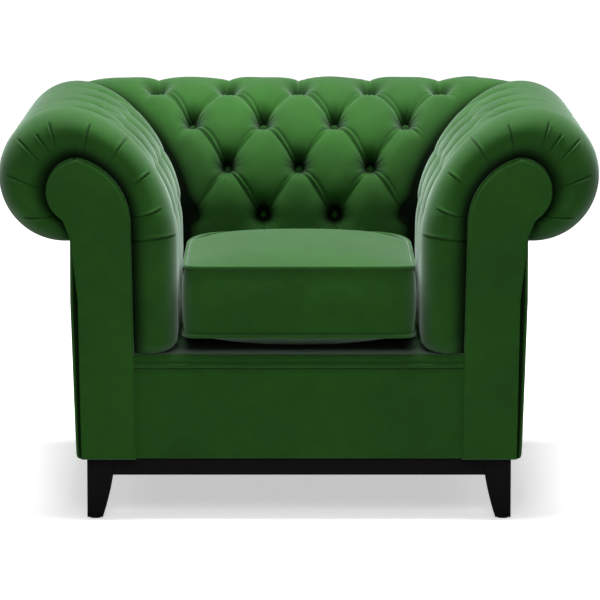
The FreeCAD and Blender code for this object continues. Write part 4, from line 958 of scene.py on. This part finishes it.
# outside covers, from the hem under the rail up to the roll, as (reach, height)
outside = {
    "hem": ((0.176, 0.1153), (0.183, 0.1153), (0.1865, 0.1163), (0.1885, 0.119), (0.1895, 0.124)),
    "low": (0.1915, 0.170), "flatFrom": (0.1992, 0.414), "flatTo": (0.1992, 0.520),
    "turn": (0.2000, 0.531), "top": (0.2130, 0.566),
    "front": -0.4430, "rearGap": 0.0015, "rounding": 0.006, "puff": 0.0022, "puffFrom": 0.12, "puffTall": 0.4,
    "tuck": 0.0155, "tuckShade": (1.0, 0.9, 0.45), "backTop": 0.532,
    "welt": 0.0032, "weltIn": 0.0014, "weltTop": 0.528,
}
outsideLine = Line([
    np.array(outside["hem"]),
    straightPoints(outside["hem"][-1], outside["low"], 8),
    straightPoints(outside["low"], outside["flatFrom"], 40),
    straightPoints(outside["flatFrom"], outside["flatTo"], 18),
    straightPoints(outside["flatTo"], outside["turn"], 4),
    straightPoints(outside["turn"], outside["top"], 8),
])


def outsidePanel(start, finish):
    # a flat panel pulled over its edges, swelling a little in the middle
    reach, height = outsideLine.points.T
    ends = outside["rounding"] * (1 - np.cos(np.linspace(0, math.pi / 2, 9)))
    along = np.concatenate([[start, start], start + ends[1:], np.linspace(start, finish, 60)[2:-2],
                            (finish - ends[1:])[::-1], [finish, finish]])
    inset = roundOff(np.minimum(along - start, finish - along), outside["rounding"])
    inset[[0, -1]] = outside["tuck"]
    share = np.clip((along - start) / (finish - start), 0, 1)
    heightShare = np.clip((height[:, None] - outside["puffFrom"]) / outside["puffTall"], 0, 1)
    swell = outside["puff"] * np.sin(math.pi * share) ** 0.5 * np.sin(math.pi * heightShare) ** 0.6
    out = reach[:, None] + swell - inset[None, :]
    long = np.repeat(along[None, :], len(height), axis=0)
    tall = np.repeat(height[:, None], len(along), axis=1)
    return out, long, tall


flatReach = outside["flatTo"][0]
for side, word in ((1, "right"), (-1, "left")):
    out, long, tall = outsidePanel(outside["front"], seatBack + flatReach - outside["rearGap"])
    # painted shade: a dark strip along the panel's front edge, where it tucks in beside the facing
    dark = np.zeros(out.shape)
    dark[:, :3] = outside["tuckShade"]
    grid = np.stack([side * (seatHalf + out), long, tall], axis=2)
    panel = makeGrid(word + "_outside_arm_panel", grid, np.array([side, 0, 0]), dark)
    settle(panel, "chair", "velvet", word + "_outside_arm_cover")

backHalf = seatHalf + flatReach - outside["rearGap"]
out, long, tall = outsidePanel(-backHalf, backHalf)
grid = np.stack([long, seatBack + out, tall], axis=2)[tall[:, 0] < outside["backTop"]]
panels = [makeGrid("outside_back_panel", grid, np.array([0, 1, 0]))]
for side in (1, -1):
    line = []
    for reach, height in outsideLine.points[3:]:
        if height < outside["weltTop"]:
            inward = reach - outside["weltIn"]
            line.append((side * (seatHalf + inward), seatBack + inward, height))
    panels.append(tube("welt", line, outside["welt"]))
panel = join(panels, "outside_back_panel")
settle(panel, "chair", "velvet", "outside_back_cover")


# thin cloths tacked along their edges
undersideCloth = {"half": 0.3725, "front": -0.382, "rear": 0.246, "height": 0.1148,
                  "sag": 0.0035, "ripple": 0.0008, "pulls": 14}
springCloth = {"half": 0.3025, "front": -0.433, "rear": 0.200, "height": 0.2640,
               "sag": 0.0020, "ripple": 0.0006, "pulls": 18}


def flatSheet(name, cloth):
    across, along = np.meshgrid(np.linspace(-1, 1, 90), np.linspace(0, 1, 70))
    hang = cloth["sag"] * (1 - across ** 4) * (1 - (2 * along - 1) ** 4)
    edge = np.minimum(1 - np.abs(across), np.minimum(along, 1 - along) * 2)
    waves = np.sin(cloth["pulls"] * across * 3.0 + 2 * along)
    hang = hang + cloth["ripple"] * waves * np.exp(-edge * 14) * smooth(edge, 0, 0.03)
    y = cloth["front"] + (cloth["rear"] - cloth["front"]) * along
    points = np.stack([across * cloth["half"], y, cloth["height"] - hang], axis=2)
    return makeGrid(name, points, np.array([0, 0, -1]))


sheet = flatSheet("underside_cloth", undersideCloth)
settle(sheet, "chair", "dust_cloth", "dust_cover")
sheet = flatSheet("spring_cloth", springCloth)
settle(sheet, "chair", "lining_cloth", "spring_insulator")

# the zip along the back of the cushion, with a coil of teeth on its tape
fastener = {
    "half": 0.160, "y": 0.1140, "z": 0.412, "tape": 0.0050, "tapeOut": 0.0006, "tapeBend": 0.0003,
    "coilHalf": 0.1575, "coilOut": 0.0016, "coilDeep": 0.0007, "coilTall": 0.0018,
    "turns": 128, "stepsPerTurn": 8, "wire": 0.0006,
}
across, up = np.meshgrid(np.linspace(-1, 1, 160), np.linspace(-1, 1, 9))
tapeY = fastener["y"] + fastener["tapeOut"] + fastener["tapeBend"] * np.cos(up * 9)
tapePoints = np.stack([across * fastener["half"], tapeY, fastener["z"] + up * fastener["tape"]], axis=2)
tape = makeGrid("zip_band", tapePoints, np.array([0, 1, 0]))
coil = []
coilSteps = fastener["turns"] * fastener["stepsPerTurn"]
for k in range(coilSteps + 1):
    turn = 2 * math.pi * k / fastener["stepsPerTurn"]
    x = -fastener["coilHalf"] + 2 * fastener["coilHalf"] * k / coilSteps
    y = fastener["y"] + fastener["coilOut"] + fastener["coilDeep"] * math.sin(turn)
    coil.append((x, y, fastener["z"] + fastener["coilTall"] * math.cos(turn)))
teeth = tube("teeth", coil, fastener["wire"] / 2)
piece = join([tape, teeth], "zip_tape_and_coil")
settle(piece, "seat_cushion", "zip_tape", "cushion_zip")
print("outside covers made")


# camera, light and floor
camera = {"distance": 8.2, "height": 1.482, "pitch": 7.402, "lens": 266.94, "shiftX": 0.0016}
lamps = {
    "overhead": {"place": (0, -0.12, 3.2), "aim": (0, 0, 0.4), "power": 182, "size": (2.2, 1.2)},
    "left soft": {"place": (-2.8, -1.2, 2.6), "aim": (0, 0, 0.5), "power": 9, "size": (1.6, 1.6)},
    "right soft": {"place": (2.8, -1.2, 2.6), "aim": (0, 0, 0.5), "power": 9, "size": (1.6, 1.6)},
    "front fill": {"place": (0, -5, 3.0), "aim": (0, 0, 0.4), "power": 85, "size": (2.0, 2.0)},
}
backdrop = {"soft": 0.05, "white": 1.0}
ground = {"colour": 0.95, "bounce": 0.42}
groundGlow = {"From Min": 0.7, "From Max": 2.2, "To Min": 0.55, "To Max": 1.05}


def lamp(name, place, aim, power, size):
    data = bpy.data.lights.new(name, "AREA")
    data.energy = power
    data.shape = "RECTANGLE"
    data.size, data.size_y = size
    light = bpy.data.objects.new(name, data)
    bpy.context.collection.objects.link(light)
    light.location = place
    direction = Vector(aim) - Vector(place)
    light.rotation_euler = direction.to_track_quat("-Z", "Y").to_euler()


data = bpy.data.cameras.new("camera")
data.sensor_width = 36
data.lens = camera["lens"]
data.shift_x = camera["shiftX"]
data.clip_end = 100
eye = bpy.data.objects.new("camera", data)
bpy.context.collection.objects.link(eye)
eye.location = (0, profile["front"] - camera["distance"], camera["height"])
eye.rotation_euler = (math.radians(90 - camera["pitch"]), 0, 0)
bpy.context.scene.camera = eye
for name, settings in lamps.items():
    lamp(name, **settings)

bpy.ops.mesh.primitive_plane_add(size=60, location=(0, 0, 0))
floor = bpy.context.object
floor.name = "floor"
floorMaterial, tree, shader, place = newMaterial("white floor")
shader.inputs["Base Color"].default_value = (*[ground["colour"]] * 3, 1)
shader.inputs["Roughness"].default_value = 0.95
shader.inputs["Specular IOR Level"].default_value = 0.0
distance = place.node("ShaderNodeVectorMath", 0, output=1, operation="LENGTH")
glow = distance.node("ShaderNodeMapRange", "Value", **groundGlow)
white = tree.nodes.new("ShaderNodeCombineColor")
for channel in ("Red", "Green", "Blue"):
    tree.links.new(glow.socket, white.inputs[channel])
tree.links.new(white.outputs["Color"], shader.inputs["Emission Color"])
shader.inputs["Emission Strength"].default_value = 1.0
# only the camera sees the floor glow, so that it doesn't light the chair from below
bounce = tree.nodes.new("ShaderNodeBsdfDiffuse")
bounce.inputs["Color"].default_value = (*[ground["bounce"]] * 3, 1)
seen = tree.nodes.new("ShaderNodeLightPath").outputs["Is Camera Ray"]
blendShaders(tree, seen, bounce.outputs["BSDF"], shader.outputs["BSDF"])
paint(floor, floorMaterial)

world = bpy.data.worlds.new("studio")
bpy.context.scene.world = world
world.use_nodes = True
tree = world.node_tree
tree.nodes.clear()
tree.nodes.new("ShaderNodeOutputWorld")
looks = []
for strength in (backdrop["soft"], backdrop["white"]):
    background = tree.nodes.new("ShaderNodeBackground")
    background.inputs["Color"].default_value = (1, 1, 1, 1)
    background.inputs["Strength"].default_value = strength
    looks.append(background.outputs["Background"])
blendShaders(tree, tree.nodes.new("ShaderNodeLightPath").outputs["Is Camera Ray"], *looks, kind="World")
bpy.context.scene.view_settings.view_transform = "Standard"
print("studio ready")
